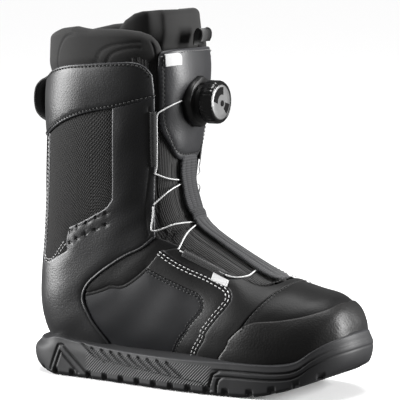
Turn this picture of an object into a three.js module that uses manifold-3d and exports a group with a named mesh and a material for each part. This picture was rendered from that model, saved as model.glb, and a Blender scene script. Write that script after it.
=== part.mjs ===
// Snowboard boot, right foot, 28 cm size, closed by a dial and one steel lace.
// Millimetres, +Z up, +X to the toe, -Y to the outer (lateral) side of the foot.
import * as THREE from 'three';
import { mergeVertices } from 'three/addons/utils/BufferGeometryUtils.js';
import Module from 'manifold-3d';

const wasm = await Module();
wasm.setup();

// ---------------------------------------------------------------- driving dimensions

const GAP = 0.4; // air between two sewn or stacked pieces

// Cross-sections of the boot, from the toe tip (0) round the heel to the top of the cuff (20).
// Each is a plane closed curve between a point on the back or bottom line and one on the front
// or top line. Columns: back x, back z, front x, front z, half width, place of the widest point
// (0 back, 1 front), back exponent, front exponent, sideways shift.
const SECTIONS = [
  [146, 50, 146, 50, 0, 0.5, 2.2, 2.2, 4],
  [145, 38, 144, 63, 17, 0.5, 2.3, 2.3, 4],
  [140, 27, 137, 75, 30, 0.45, 2.6, 2.3, 4],
  [128, 19, 124, 82, 40, 0.42, 2.9, 2.2, 3],
  [107, 14, 102, 87, 49, 0.4, 3.2, 2.1, 3],
  [80, 12, 74, 95, 54, 0.38, 3.4, 2.0, 2],
  [48, 12, 46, 109, 53, 0.36, 3.4, 1.9, 1],
  [12, 13, 20, 123, 50, 0.36, 3.3, 2.0, 1],
  [-28, 14, 7, 132, 47, 0.38, 3.2, 2.2, 0],
  [-70, 15, 0, 140, 45.5, 0.42, 3.0, 2.4, 0],
  [-109, 16, -4, 148, 45, 0.46, 2.8, 2.5, 0],
  [-134, 23, -7, 157, 45, 0.48, 2.7, 2.6, 0],
  [-146, 45, -9, 166, 45.5, 0.49, 2.7, 2.6, 0],
  [-148, 75, -10, 176, 46, 0.5, 2.6, 2.7, 0],
  [-145, 110, -9, 190, 47.5, 0.5, 2.5, 2.7, 0],
  [-142, 148, -7, 208, 50, 0.49, 2.4, 2.7, 0],
  [-140, 188, -4, 230, 53, 0.48, 2.3, 2.7, 0],
  [-139, 228, -2, 255, 55, 0.48, 2.3, 2.7, 0],
  [-138, 266, -3, 281, 56, 0.48, 2.3, 2.7, 0],
  [-137, 290, -6, 308, 55, 0.48, 2.3, 2.7, 0],
  [-136, 314, -9, 335, 54, 0.48, 2.3, 2.7, 0],
];
const LAST = SECTIONS.length - 1;

// Lines that every sheet is faceted on, so the facets of stacked sheets lie parallel.
const LENGTH_LINES = [
  0, 0.7, 1.4, 2, 2.6, 3.3, 4, 4.6, 5.2, 5.8, 6.4, 7.1, 7.8, 8.5, 9.1, 9.7, 10.3, 10.9, 11.6, 12.4, 13.1,
  13.8, 14.8, 15.8, 16.5, 17.1, 17.7, 18.3, 18.9, 19.4,
];
const GIRTH_LINES = [0, 0.2, 0.45, 0.7, 0.95, 1.2, 1.45, 1.7, 1.95, 2.25, 2.55, 2.85];

// Heights of the layers above the outer face: overlays, base panels, stiffeners, padding.
const OVERLAY_TOP = 0;
const PANEL_TOP = -0.9;
const UPPER_BOTTOM = -3.4;
const STIFFENER = [-5.4, -3.8];
const PADDING_TOP = -5.8;
const PADDING = 3.2; // thickness on the shaft
const LINER = 7.5; // thickness on the shaft
const LINER_GAP = 1.2;
const FOOTBED = 4;

// Tongue: a base sheet sunk between the eyestays, an outer panel and a raised spine.
const TONGUE_BASE = [-6.6, -4.8];
const TONGUE_OUTER = [-4.4, 0];
const SPINE = [-1.5, 0];

// Sole
const SOLE_HEEL = -156;
const SOLE_TOE = 153;
const TREAD_DEPTH = 3;
const TREAD_GROOVE = 4;
const TREAD_WIDTH = 140; // wider than the sole
const TOE_GROOVES = [70, 94, 116, 134]; // their x

// Dial
const DIAL_HEIGHT = 234;
const DIAL_SEAT = 1.2; // x of the face that the housing stands on
const KNOB_RADIUS = 18;
const HOUSING_RADIUS = 15;

const LACE_RADIUS = 0.6;

// ---------------------------------------------------------------- materials

const MATERIALS = {
  synthetic: { color: 0x1d1d1f, roughness: 0.62, metalness: 0 },
  grey_leather: { color: 0x4a4b50, roughness: 0.48, metalness: 0 },
  textile: { color: 0x2b2826, roughness: 0.9, metalness: 0 },
  rubber: { color: 0x2c2c2f, roughness: 0.78, metalness: 0 },
  foam: { color: 0x35353a, roughness: 0.95, metalness: 0 },
  liner: { color: 0x202022, roughness: 0.88, metalness: 0 },
  webbing: { color: 0x121213, roughness: 0.85, metalness: 0 },
  plastic: { color: 0x111112, roughness: 0.35, metalness: 0 },
  metal_face: { color: 0x9a9ca0, roughness: 0.3, metalness: 0.9 },
  lace: { color: 0xb9b9b6, roughness: 0.5, metalness: 0.3 },
  label: { color: 0xd8d8d8, roughness: 0.7, metalness: 0 },
};

const boot = new THREE.Group();

function add(name, slot, geometry) {
  const material = new THREE.MeshStandardMaterial({ ...MATERIALS[slot], name: slot });
  const mesh = new THREE.Mesh(geometry, material);
  mesh.name = name;
  boot.add(mesh);
  return mesh;
}

// ---------------------------------------------------------------- the boot's surface

// One section between two of the table, by a Catmull-Rom curve through each column.
function sectionAt(t) {
  const clamped = Math.min(Math.max(t, 0), LAST);
  const i = Math.min(Math.floor(clamped), LAST - 1);
  const u = clamped - i;
  const [p0, p1, p2, p3] = [i - 1, i, i + 1, i + 2].map((k) => SECTIONS[Math.min(Math.max(k, 0), LAST)]);
  return p1.map((_, c) => 0.5 * (2 * p1[c] + (p2[c] - p0[c]) * u
    + (2 * p0[c] - 5 * p1[c] + 4 * p2[c] - p3[c]) * u * u
    + (3 * p1[c] - p0[c] - 3 * p2[c] + p3[c]) * u * u * u));
}

// A point of the outer face: t runs along the boot, phi round it from the front line (0), with
// the lateral side positive, to the back or bottom line (pi).
function facePoint(t, phi) {
  const [bx, bz, fx, fz, half, widest, backPower, frontPower, shift] = sectionAt(t);
  const cos = Math.cos(phi);
  const power = cos >= 0 ? frontPower : backPower;
  const along = Math.abs(cos) ** (2 / power);
  const s = cos >= 0 ? widest + (1 - widest) * along : widest - widest * along;
  const y = shift - Math.sign(Math.sin(phi)) * half * Math.abs(Math.sin(phi)) ** (2 / power);
  return new THREE.Vector3(bx + (fx - bx) * s, y, bz + (fz - bz) * s);
}

function faceNormal(t, phi) {
  if (t < 0.05) return new THREE.Vector3(1, 0, 0);
  const step = 1e-3;
  const inside = Math.min(t, LAST - 2 * step);
  const round = facePoint(inside, phi + step).sub(facePoint(inside, phi - step));
  const along = facePoint(inside + step, phi).sub(facePoint(inside - step, phi));
  return along.cross(round).normalize();
}

// A point at a height over the outer face. Below the padding's top it moves towards the middle
// of its section, so that thick inner layers never cross.
function pointAt(t, phi, height) {
  const shallow = Math.max(height, PADDING_TOP);
  const point = facePoint(t, phi).addScaledVector(faceNormal(t, phi), shallow);
  if (height >= PADDING_TOP) return point;
  const [bx, bz, fx, fz, , widest, , , shift] = sectionAt(t);
  const middle = new THREE.Vector3(bx + (fx - bx) * widest, shift, bz + (fz - bz) * widest);
  return point.add(middle.sub(point).setLength(PADDING_TOP - height));
}

// The padding and the liner are thinner round the forefoot than round the shaft.
function shaftShare(t) {
  return THREE.MathUtils.lerp(0.45, 1, THREE.MathUtils.smoothstep(t, 6, 12));
}
const paddingBottom = (t) => PADDING_TOP - PADDING * shaftShare(t);
const linerTop = (t) => paddingBottom(t) - LINER_GAP;
const linerBottom = (t) => linerTop(t) - LINER * shaftShare(t);

// ---------------------------------------------------------------- sheets cut from the surface

const GIRTH = [
  ...GIRTH_LINES.slice(1).map((phi) => -phi).reverse(),
  ...GIRTH_LINES,
  Math.PI,
];
const FINE = { lengths: LENGTH_LINES, girths: GIRTH };
const everySecond = (lines) => lines.filter((_, k) => k % 2 === 1);
const COARSE = { lengths: everySecond(LENGTH_LINES), girths: everySecond(GIRTH) };

const millimetresPerStep = (() => {
  const reach = 0.1;
  const cache = new Map();
  return (t, phi) => {
    const key = `${t},${phi}`;
    if (!cache.has(key)) {
      const along = facePoint(t + reach, phi).distanceTo(facePoint(t - reach, phi));
      const round = facePoint(t, phi + reach).distanceTo(facePoint(t, phi - reach));
      cache.set(key, [along / (2 * reach), round / (2 * reach)]);
    }
    return cache.get(key);
  };
})();

// Signed distance in millimetres from a point of the surface to a closed outline of [t, phi]
// points, positive inside. A centred outline is drawn for one side only, and its edges on the
// front line, the back line and the toe tip are open.
function insideOutline(outline, t, phi, centred) {
  const [alongScale, roundScale] = millimetresPerStep(t, phi);
  let nearest = Infinity;
  let inside = false;
  outline.forEach(([t0, p0], k) => {
    const [t1, p1] = outline[(k + 1) % outline.length];
    if ((p0 > phi) !== (p1 > phi) && t < t0 + ((phi - p0) / (p1 - p0)) * (t1 - t0)) inside = !inside;
    const open = centred && p0 === p1 && (p0 === 0 || p0 === Math.PI);
    if (open || (t0 === 0 && t1 === 0)) return;
    const ax = (t0 - t) * alongScale;
    const ay = (p0 - phi) * roundScale;
    const bx = (t1 - t) * alongScale - ax;
    const by = (p1 - phi) * roundScale - ay;
    const share = THREE.MathUtils.clamp(-(ax * bx + ay * by) / (bx * bx + by * by || 1), 0, 1);
    nearest = Math.min(nearest, Math.hypot(ax + share * bx, ay + share * by));
  });
  return inside ? nearest : -nearest;
}

const isInside = (outline, side) => (t, phi) => {
  if (side === 'centre') {
    const round = THREE.MathUtils.clamp(Math.abs(phi), 1e-4, Math.PI - 1e-4);
    return insideOutline(outline, Math.max(t, 1e-4), round, true);
  }
  return insideOutline(outline, Math.max(t, 1e-4), side === 'lateral' ? phi : -phi, false);
};

// A closed sheet between two heights, cut along the zero line of a signed distance. Each cell of
// the line grid is two triangles, and a cut point lies on a straight edge between two of them.
function sheet(signedDistance, bottom, top, { lengths, girths } = FINE, gap = GAP) {
  const SNAP = 0.3;
  const heightAt = (height, t) => (typeof height === 'function' ? height(t) : height);
  const positions = [];
  const ids = new Map();
  const faces = [];
  const values = lengths.map((t) => girths.map((phi) => {
    const value = signedDistance(t, phi) - gap / 2;
    return Math.abs(value) < SNAP ? SNAP * (value < 0 ? -1 : 1) : value;
  }));
  const corner = (i, j, level) => {
    const t = lengths[i];
    return pointAt(t, girths[lengths[i] === 0 ? 0 : j], heightAt(level ? top : bottom, t));
  };
  const vertex = (key, make) => {
    if (!ids.has(key)) {
      ids.set(key, positions.length / 3);
      positions.push(...make().toArray());
    }
    return ids.get(key);
  };
  const cornerId = ([i, j], level) => {
    const column = lengths[i] === 0 ? 0 : j;
    return vertex(`${i},${column},${level}`, () => corner(i, j, level));
  };
  const cutId = (a, b, level) => {
    const name = ([i, j]) => `${i},${lengths[i] === 0 ? 0 : j}`;
    const [p, q] = name(a) < name(b) ? [a, b] : [b, a];
    const share = values[p[0]][p[1]] / (values[p[0]][p[1]] - values[q[0]][q[1]]);
    const between = () => corner(...p, level).lerp(corner(...q, level), share);
    return vertex(`${name(p)}|${name(q)},${level}`, between);
  };
  const triangle = (...nodes) => {
    const inner = nodes.map(([i, j]) => values[i][j] > 0);
    const ring = [];
    const cuts = [];
    nodes.forEach((node, k) => {
      const next = nodes[(k + 1) % 3];
      if (inner[k]) ring.push((level) => cornerId(node, level));
      if (inner[k] !== inner[(k + 1) % 3]) {
        cuts.push((level) => cutId(node, next, level));
        ring.push(cuts.at(-1));
        if (inner[k]) cuts.leaving = cuts.length - 1;
      }
    });
    for (let k = 1; k + 1 < ring.length; k += 1) {
      faces.push([ring[0](1), ring[k](1), ring[k + 1](1)]);
      faces.push([ring[0](0), ring[k + 1](0), ring[k](0)]);
    }
    if (cuts.length === 2) {
      const from = cuts[cuts.leaving];
      const to = cuts[1 - cuts.leaving];
      faces.push([from(1), from(0), to(0)]);
      faces.push([from(1), to(0), to(1)]);
    }
  };
  for (let i = 0; i + 1 < lengths.length; i += 1) {
    for (let j = 0; j < girths.length; j += 1) {
      const k = (j + 1) % girths.length;
      if (girths[j] >= 0) {
        triangle([i, j], [i + 1, j], [i + 1, k]);
        triangle([i, j], [i + 1, k], [i, k]);
      } else {
        triangle([i, j], [i + 1, j], [i, k]);
        triangle([i + 1, j], [i + 1, k], [i, k]);
      }
    }
  }
  return indexed(positions, largestPiece(faces));
}

function largestPiece(faces) {
  const parent = new Map();
  const find = (v) => {
    let root = v;
    while (parent.get(root) !== root) root = parent.get(root);
    parent.set(v, root);
    return root;
  };
  const whole = faces.filter(([a, b, c]) => a !== b && b !== c && c !== a);
  whole.flat().forEach((v) => parent.set(v, v));
  whole.forEach(([a, b, c]) => {
    parent.set(find(a), find(b));
    parent.set(find(b), find(c));
  });
  const count = new Map();
  whole.forEach(([a]) => count.set(find(a), (count.get(find(a)) ?? 0) + 1));
  const largest = [...count.keys()].reduce((best, root) => (count.get(root) > count.get(best) ? root : best));
  return whole.filter(([a]) => find(a) === largest);
}

function indexed(positions, faces) {
  const geometry = new THREE.BufferGeometry();
  geometry.setAttribute('position', new THREE.Float32BufferAttribute(positions, 3));
  geometry.setIndex(faces.flat());
  return geometry.toNonIndexed();
}

// A closed body from rings of equal length: the first and last ring are closed by a fan.
function ringBody(rings) {
  const size = rings[0].length;
  const positions = rings.flat().flatMap((p) => p.toArray());
  const faces = [];
  const centre = (ring) => {
    const middle = ring.reduce((sum, p) => sum.add(p), new THREE.Vector3()).divideScalar(ring.length);
    positions.push(...middle.toArray());
    return positions.length / 3 - 1;
  };
  rings.slice(1).forEach((_, r) => {
    for (let k = 0; k < size; k += 1) {
      const [a, b] = [r * size + k, r * size + ((k + 1) % size)];
      faces.push([a, a + size, b + size], [a, b + size, b]);
    }
  });
  const first = centre(rings[0]);
  const last = centre(rings.at(-1));
  const offset = (rings.length - 1) * size;
  for (let k = 0; k < size; k += 1) {
    const next = (k + 1) % size;
    faces.push([first, k, next], [last, offset + next, offset + k]);
  }
  return indexed(positions, faces);
}

// ---------------------------------------------------------------- solids and booleans

function solid(geometry) {
  const bare = geometry.clone();
  bare.deleteAttribute('normal');
  bare.deleteAttribute('uv');
  const merged = mergeVertices(bare, 1e-3);
  const index = [];
  const source = merged.index.array;
  for (let k = 0; k < source.length; k += 3) {
    const [a, b, c] = source.slice(k, k + 3);
    if (a !== b && b !== c && c !== a) index.push(a, b, c);
  }
  const made = new wasm.Manifold(new wasm.Mesh({
    numProp: 3,
    vertProperties: new Float32Array(merged.attributes.position.array),
    triVerts: new Uint32Array(index),
  }));
  return made;
}

function geometryOf(body) {
  const mesh = body.getMesh();
  const geometry = new THREE.BufferGeometry();
  geometry.setAttribute('position', new THREE.BufferAttribute(mesh.vertProperties, 3));
  geometry.setIndex(new THREE.BufferAttribute(mesh.triVerts, 1));
  return geometry.toNonIndexed();
}

function subtract(geometry, ...cutters) {
  return geometryOf(cutters.reduce((body, cutter) => body.subtract(solid(cutter)), solid(geometry)));
}

function join(...geometries) {
  return geometryOf(geometries.slice(1).reduce((body, next) => body.add(solid(next)), solid(geometries[0])));
}

function block(size, centre) {
  return new THREE.BoxGeometry(...size).translate(...centre);
}

// A turned part about the +X axis from [x, radius] points, closed on the axis or on itself.
function turned(profile, segments, centre = [0, 0, 0]) {
  const points = profile.map(([x, radius]) => new THREE.Vector2(radius, x));
  const geometry = new THREE.LatheGeometry(points, segments);
  geometry.rotateZ(-Math.PI / 2);
  return geometry.translate(...centre);
}

// A tube or strip of one section along a smooth line through points.
function swept(points, section, steps) {
  const path = new THREE.CatmullRomCurve3(points, false, 'centripetal');
  return new THREE.ExtrudeGeometry(section, { steps, extrudePath: path, curveSegments: 4 });
}

function roundSection(radius, sides) {
  const corners = Array.from({ length: sides }, (_, k) => {
    const angle = (2 * Math.PI * k) / sides;
    return new THREE.Vector2(radius * Math.cos(angle), radius * Math.sin(angle));
  });
  return new THREE.Shape(corners);
}

function flatSection(width, thickness) {
  const [w, h] = [width / 2, thickness / 2];
  return new THREE.Shape([[-h, -w], [h, -w], [h, w], [-h, w]].map(([x, y]) => new THREE.Vector2(x, y)));
}

// A curved four-sided patch on the surface, between the [t, phi] corners in order round it.
function patch(corners, bottom, top, cells = [3, 3]) {
  const blend = (u, v, c) => (1 - u) * (1 - v) * corners[0][c] + u * (1 - v) * corners[1][c]
    + u * v * corners[2][c] + (1 - u) * v * corners[3][c];
  const [nu, nv] = cells;
  const row = (u) => {
    const at = (v, height) => pointAt(blend(u, v, 0), blend(u, v, 1), height);
    const across = Array.from({ length: nv + 1 }, (_, k) => k / nv);
    return [...across.map((v) => at(v, bottom)), ...across.reverse().map((v) => at(v, top))];
  };
  const rings = Array.from({ length: nu + 1 }, (_, k) => row(k / nu));
  const geometry = ringBody(rings);
  return outward(geometry);
}

// The same closed surface with its faces turned outwards.
function outward(geometry) {
  const p = geometry.attributes.position;
  const [a, b, c] = [new THREE.Vector3(), new THREE.Vector3(), new THREE.Vector3()];
  let volume = 0;
  for (let k = 0; k < p.count; k += 3) {
    [a, b, c].forEach((v, n) => v.fromBufferAttribute(p, k + n));
    volume += a.dot(b.clone().cross(c));
  }
  if (volume > 0) return geometry;
  for (let k = 0; k < p.count; k += 3) {
    b.fromBufferAttribute(p, k + 1);
    c.fromBufferAttribute(p, k + 2);
    p.setXYZ(k + 1, ...c.toArray());
    p.setXYZ(k + 2, ...b.toArray());
  }
  return geometry;
}

// ---------------------------------------------------------------- seam lines, [t, phi]

const PI = Math.PI;
const UNDER = 2.75; // where the upper is lasted under the foot
const RAND_TOP = [
  [2.04, 0], [2.46, 0.62], [3.14, 0.91], [4.17, 1.11], [5.04, 1.24], [5.64, 1.54], [6.0, 1.85], [6.3, UNDER],
];
const TOE_SEAM = [[4.4, 0], [4.45, 0.3], [4.7, 0.72], [5.1, 1.13], [5.35, 1.37]];
const THROAT = [[4.6, 0], [4.7, 0.35], [5.02, 0.54], [5.77, 0.6], [6.69, 0.64], [7.99, 0.71], [9.81, 0.92]];
const EYESTAY = [[9.81, 0.92], [10.36, 0.85], [11.76, 0.75], [13.77, 0.72], [15.45, 0.75], [16.52, 0.78]];
const VAMP_SEAM = [
  [8.9, 0.95], [7.27, 0.88], [6.35, 0.83], [5.85, 0.86], [5.72, 0.97], [5.8, 1.1], [6.12, 1.36], [6.4, 1.59],
  [6.64, 1.86], [6.8, UNDER],
];
const BAND_SEAM = [
  [9.06, 1.22], [8.15, 1.17], [7.24, 1.13], [6.62, 1.13], [6.5, 1.25], [6.88, 1.56], [7.1, 1.71], [7.26, 2.0],
  [7.4, UNDER],
];
const HEEL_SEAM = [
  [9.81, 0.92], [9.98, 1.11], [10.51, 1.32], [10.93, 1.52], [11.1, 1.62], [11.0, 1.7], [10.11, 1.84],
  [9.51, 1.99], [9.1, 2.21], [8.84, UNDER],
];
const PATCH_SEAM = [[10.9, 1.71], [10.24, 1.58], [9.56, 1.5], [9.21, 1.34], [9.06, 1.22], [8.9, 0.95]];
const BACK_LINE = [[13.3, 2.45], [12.27, 2.5], [11.43, 2.54], [10.7, UNDER]];
const MESH_LOW = [
  [13.6, 1.38], [13.45, 1.45], [13.55, 1.62], [13.68, 1.82], [13.34, 1.85], [12.99, 1.83], [13.06, 1.97],
  [13.3, 2.45],
];
const BAND_LOW = [[16.52, 0.78], [16.5, 1.15], [16.5, 1.37], [16.54, 1.58], [16.51, 1.85], [16.32, 2.45],
  [16.2, PI]];
const BAND_TOP = [[17.5, PI], [17.61, 2.45], [17.72, 2.19], [17.78, 1.85], [17.72, 1.39], [17.64, 1.07],
  [17.48, 0.92], [17.23, 0.82]];

const reversed = (line) => [...line].reverse();

// ---------------------------------------------------------------- the upper

const SIDES = ['lateral', 'medial'];

function buildUpper() {
  const upper = (name, slot, side, outline, top) => {
    add(name, slot, sheet(isInside(outline, side), UPPER_BOTTOM, top));
  };
  upper('toe_rand', 'synthetic', 'centre', [[0, 0], ...RAND_TOP, [2, UNDER], [2, PI], [0, PI]], OVERLAY_TOP);
  const toeBox = [RAND_TOP[0], ...TOE_SEAM, [5.3, 1.39], ...reversed(RAND_TOP).slice(3)];
  upper('toe_box', 'synthetic', 'centre', toeBox, PANEL_TOP);
  upper('cuff_band', 'grey_leather', 'centre', [...BAND_LOW, ...BAND_TOP], OVERLAY_TOP);
  upper('backstay', 'synthetic', 'centre', [...BACK_LINE, [10.7, PI], [16.2, PI], [16.32, 2.45]], PANEL_TOP);
  upper('lasting_board', 'foam', 'centre', [[2, UNDER], [10.7, UNDER], [10.7, PI], [2, PI]], PANEL_TOP);
  for (const side of SIDES) {
    const vamp = [
      ...TOE_SEAM.slice(1), [5.35, 1.39], ...RAND_TOP.slice(5),
      ...reversed(VAMP_SEAM), ...reversed(THROAT).slice(1, -1),
    ];
    upper(`vamp_${side}`, 'synthetic', side, vamp, OVERLAY_TOP);
    upper(`quarter_${side}`, 'synthetic', side, [...VAMP_SEAM, ...reversed(BAND_SEAM)], PANEL_TOP);
    upper(`side_panel_${side}`, 'synthetic', side,
      [...BAND_SEAM, ...reversed(HEEL_SEAM).slice(0, 4), ...PATCH_SEAM.slice(0, 4)], PANEL_TOP);
    upper(`ankle_patch_${side}`, 'synthetic', side,
      [...HEEL_SEAM.slice(0, 5), ...PATCH_SEAM, [8.0, 0.72]], PANEL_TOP);
    const heelOverlay = [
      ...EYESTAY, ...BAND_LOW.slice(1, 3), ...MESH_LOW,
      ...BACK_LINE.slice(1), ...reversed(HEEL_SEAM).slice(0, -1),
    ];
    upper(`heel_overlay_${side}`, 'grey_leather', side, heelOverlay, OVERLAY_TOP);
    const meshPanel = [...BAND_LOW.slice(2, -1), ...reversed(MESH_LOW)];
    upper(`mesh_panel_${side}`, 'textile', side, meshPanel, PANEL_TOP);
  }
}

// Toe puff and heel counter behind the panels, and the foam and lining that back every skin.
function buildStiffening() {
  const [low, high] = STIFFENER;
  const puff = [[0, 0], [3.6, 0], [3.6, 2.5], [2, PI], [0, PI]];
  add('toe_puff', 'plastic', sheet(isInside(puff, 'centre'), low, high));
  const counter = [[9.9, 1.9], [11.5, 1.65], [13.2, 1.75], [13.2, PI], [11, PI], [10.8, 2.6], [9.9, 2.5]];
  add('heel_counter', 'plastic', sheet(isInside(counter, 'centre'), low, high));
  const padding = (name, side, outline) => {
    add(name, 'foam', sheet(isInside(outline, side), paddingBottom, PADDING_TOP, COARSE));
  };
  padding('padding_toe', 'centre', [[2.3, 0], [4.4, 0], [4.9, 0.55], [5.8, 0.8], [5.8, UNDER], [2.3, UNDER]]);
  padding('padding_back', 'centre', [[10.6, 2.3], [17.45, 2.3], [17.45, PI], [10.9, PI], [10.6, UNDER]]);
  for (const side of SIDES) {
    padding(`padding_foot_${side}`, side, [
      [5.8, 0.75], [8.1, 0.82], [9.8, 1.0], [10.6, 1.0], [10.6, UNDER], [5.8, UNDER],
    ]);
    padding(`padding_shaft_${side}`, side, [
      [10.6, 1.0], [13.3, 0.9], [17.3, 0.95], [17.45, 1.2], [17.45, 2.3], [10.6, 2.3],
    ]);
  }
}

// ---------------------------------------------------------------- the sole

// A smooth line through [x, value] points.
function profileLine(points) {
  const places = points.map(([x, v]) => new THREE.Vector3(x, v, 0));
  const curve = new THREE.CatmullRomCurve3(places, false, 'centripetal');
  const samples = curve.getPoints(200);
  return (x) => {
    const k = samples.findIndex((p) => p.x >= x);
    if (k <= 0) return samples[k === 0 ? 0 : samples.length - 1].y;
    const [a, b] = [samples[k - 1], samples[k]];
    return a.y + ((x - a.x) / (b.x - a.x)) * (b.y - a.y);
  };
}

const soleCurve = profileLine([
  [-156, 7], [-148, 2], [-138, 0], [62, 0], [85, 2], [105, 7], [122, 13], [138, 21], [153, 33],
]);
const soleUnderside = (x) => (x > -138 && x < 62 ? 0 : Math.max(soleCurve(x), 0));
const soleEdgeTop = profileLine([
  [-156, 38], [-146, 37], [-134, 28], [-118, 32], [-100, 30], [-60, 27], [0, 26],
  [60, 27], [104, 28], [116, 31], [128, 40], [140, 47], [153, 52],
]);

const HEEL_CENTRE = -112;
const BALL_CENTRE = 60;
const HEEL_HALF = 42;
const BALL_HALF = 58;

function soleHalfWidth(x) {
  if (x < HEEL_CENTRE) {
    return HEEL_HALF * (1 - ((HEEL_CENTRE - x) / (HEEL_CENTRE - SOLE_HEEL)) ** 2.2) ** (1 / 2.2);
  }
  if (x > BALL_CENTRE) {
    return BALL_HALF * (1 - ((x - BALL_CENTRE) / (SOLE_TOE - BALL_CENTRE)) ** 2.4) ** (1 / 2.4);
  }
  const u = (x - HEEL_CENTRE) / (BALL_CENTRE - HEEL_CENTRE);
  return HEEL_HALF + (BALL_HALF - HEEL_HALF) * u * u * (3 - 2 * u) + 2 * Math.sin(PI * u);
}

const soleShift = (x) => 4 * THREE.MathUtils.smoothstep(x, -20, 130);

function soleBlank() {
  const across = 20;
  const stations = Array.from({ length: across + 1 }, (_, k) => {
    const middle = (SOLE_HEEL + SOLE_TOE) / 2;
    return middle - (middle - SOLE_HEEL - 0.4) * Math.cos((PI * k) / across);
  });
  const rings = stations.map((x) => {
    const half = soleHalfWidth(x);
    const low = soleUnderside(x);
    const high = Math.max(soleEdgeTop(x), low + 6);
    const edge = Math.min(5, half * 0.3);
    const side = [
      [half - edge, low],
      [half - edge * 0.25, low + 2.5],
      [half, low + (high - low) * 0.4],
      [half - edge * 0.3, high],
    ];
    const outline = [...side, ...reversed(side).map(([y, z]) => [-y, z])];
    return outline.map(([y, z]) => new THREE.Vector3(x, soleShift(x) + y, z));
  });
  return outward(ringBody(rings));
}

// The space the upper takes, a little larger than the upper itself.
function upperSpace(clearance, lastLine) {
  const lines = LENGTH_LINES.filter((t) => t > 0 && t <= lastLine);
  const rings = lines.map((t) => GIRTH.map((phi) => pointAt(t, phi, clearance)));
  const tip = GIRTH.map((_, k) => pointAt(0, 0, clearance).lerp(rings[0][k], 0.05));
  return outward(ringBody([tip, ...rings]));
}

function midsolePocket(inset) {
  const stations = 12;
  const [heel, toe] = [-128 + inset, 78 - inset];
  const points = [];
  for (let k = 0; k <= stations; k += 1) {
    const x = heel + ((toe - heel) * (1 - Math.cos((PI * k) / stations))) / 2;
    const round = Math.sin((PI * k) / stations) ** 0.6;
    points.push([x, Math.max((soleHalfWidth(x) - 16 - inset) * round, 0.5)]);
  }
  const outline = [...points, ...reversed(points).map(([x, y]) => [x, -y])];
  const shape = new THREE.Shape(outline.map(([x, y]) => new THREE.Vector2(x, y)));
  const floor = 6.5 + inset;
  return new THREE.ExtrudeGeometry(shape, { depth: 30 - floor, bevelEnabled: false }).translate(0, 0, floor);
}

function treadGrooves() {
  const pitch = 17.4;
  const heelEnd = -135;
  const grooves = Array.from({ length: 12 }, (_, k) => heelEnd + k * pitch).filter((x) => x < 60);
  const size = [TREAD_GROOVE, TREAD_WIDTH, 2 * TREAD_DEPTH];
  return [...grooves, ...TOE_GROOVES].map((x) => block(size, [x, 0, soleUnderside(x)]));
}

function buildSole() {
  const space = upperSpace(GAP, 13.6);
  add('outsole', 'rubber', subtract(soleBlank(), space, midsolePocket(0), ...treadGrooves()));
  add('midsole', 'foam', subtract(midsolePocket(0.3), space));
}

// ---------------------------------------------------------------- tongue

const TONGUE_EDGE = [
  [9.3, 0.74], [10.36, 0.76], [11.76, 0.68], [13.77, 0.65], [15.45, 0.68], [16.52, 0.7], [17.9, 0.72],
];

function buildTongue() {
  const layer = (name, slot, outline, heights) => {
    add(name, slot, sheet(isInside(outline, 'centre'), ...heights));
  };
  layer('tongue_lower', 'textile', [
    [4.9, 0], [5.1, 0.42], [5.8, 0.55], [7.8, 0.68], [8.9, 0.72], [8.9, 0],
  ], TONGUE_BASE);
  layer('tongue_upper', 'textile', [[9.35, 0], ...TONGUE_EDGE, [17.9, 0]], TONGUE_BASE);
  layer('tongue_panel', 'grey_leather', [
    [13.7, 0], [13.9, 0.22], [14.7, 0.45], [15.45, 0.66], [16.52, 0.69], [17.85, 0.7], [17.9, 0],
  ], TONGUE_OUTER);
  layer('tongue_spine_upper', 'synthetic', [[9.4, 0], [9.4, 0.16], [13.65, 0.14], [13.65, 0]], SPINE);
  layer('tongue_spine_lower', 'synthetic', [[4.75, 0], [4.8, 0.2], [8.9, 0.16], [8.9, 0]], SPINE);
}

// ---------------------------------------------------------------- liner

function buildLiner() {
  const slot = [
    [6.6, 0], [6.9, 0.45], [9, 0.62], [18.2, 0.62], [18.8, 1.0], [18.85, 1.6], [18.7, 2.4], [18.6, PI],
  ];
  add('liner_body', 'liner', sheet(
    isInside([[2.3, 0], ...slot, [2.3, PI]], 'centre'), linerBottom, linerTop, COARSE));
  add('liner_tongue', 'liner', sheet(
    isInside([[9.6, 0], [9.6, 0.52], [18.3, 0.56], [19.0, 0.56], [19.12, 0.3], [19.12, 0]], 'centre'),
    linerBottom, linerTop, COARSE, 2 * GAP));
  const footbedTop = (t) => linerBottom(t) - GAP - FOOTBED;
  const footbedBottom = (t) => linerBottom(t) - GAP;
  add('footbed', 'foam', sheet(isInside([[2.8, 2.45], [10.2, 2.45], [10.4, PI], [2.8, PI]], 'centre'),
    footbedTop, footbedBottom, COARSE));
}

// ---------------------------------------------------------------- dial

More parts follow.
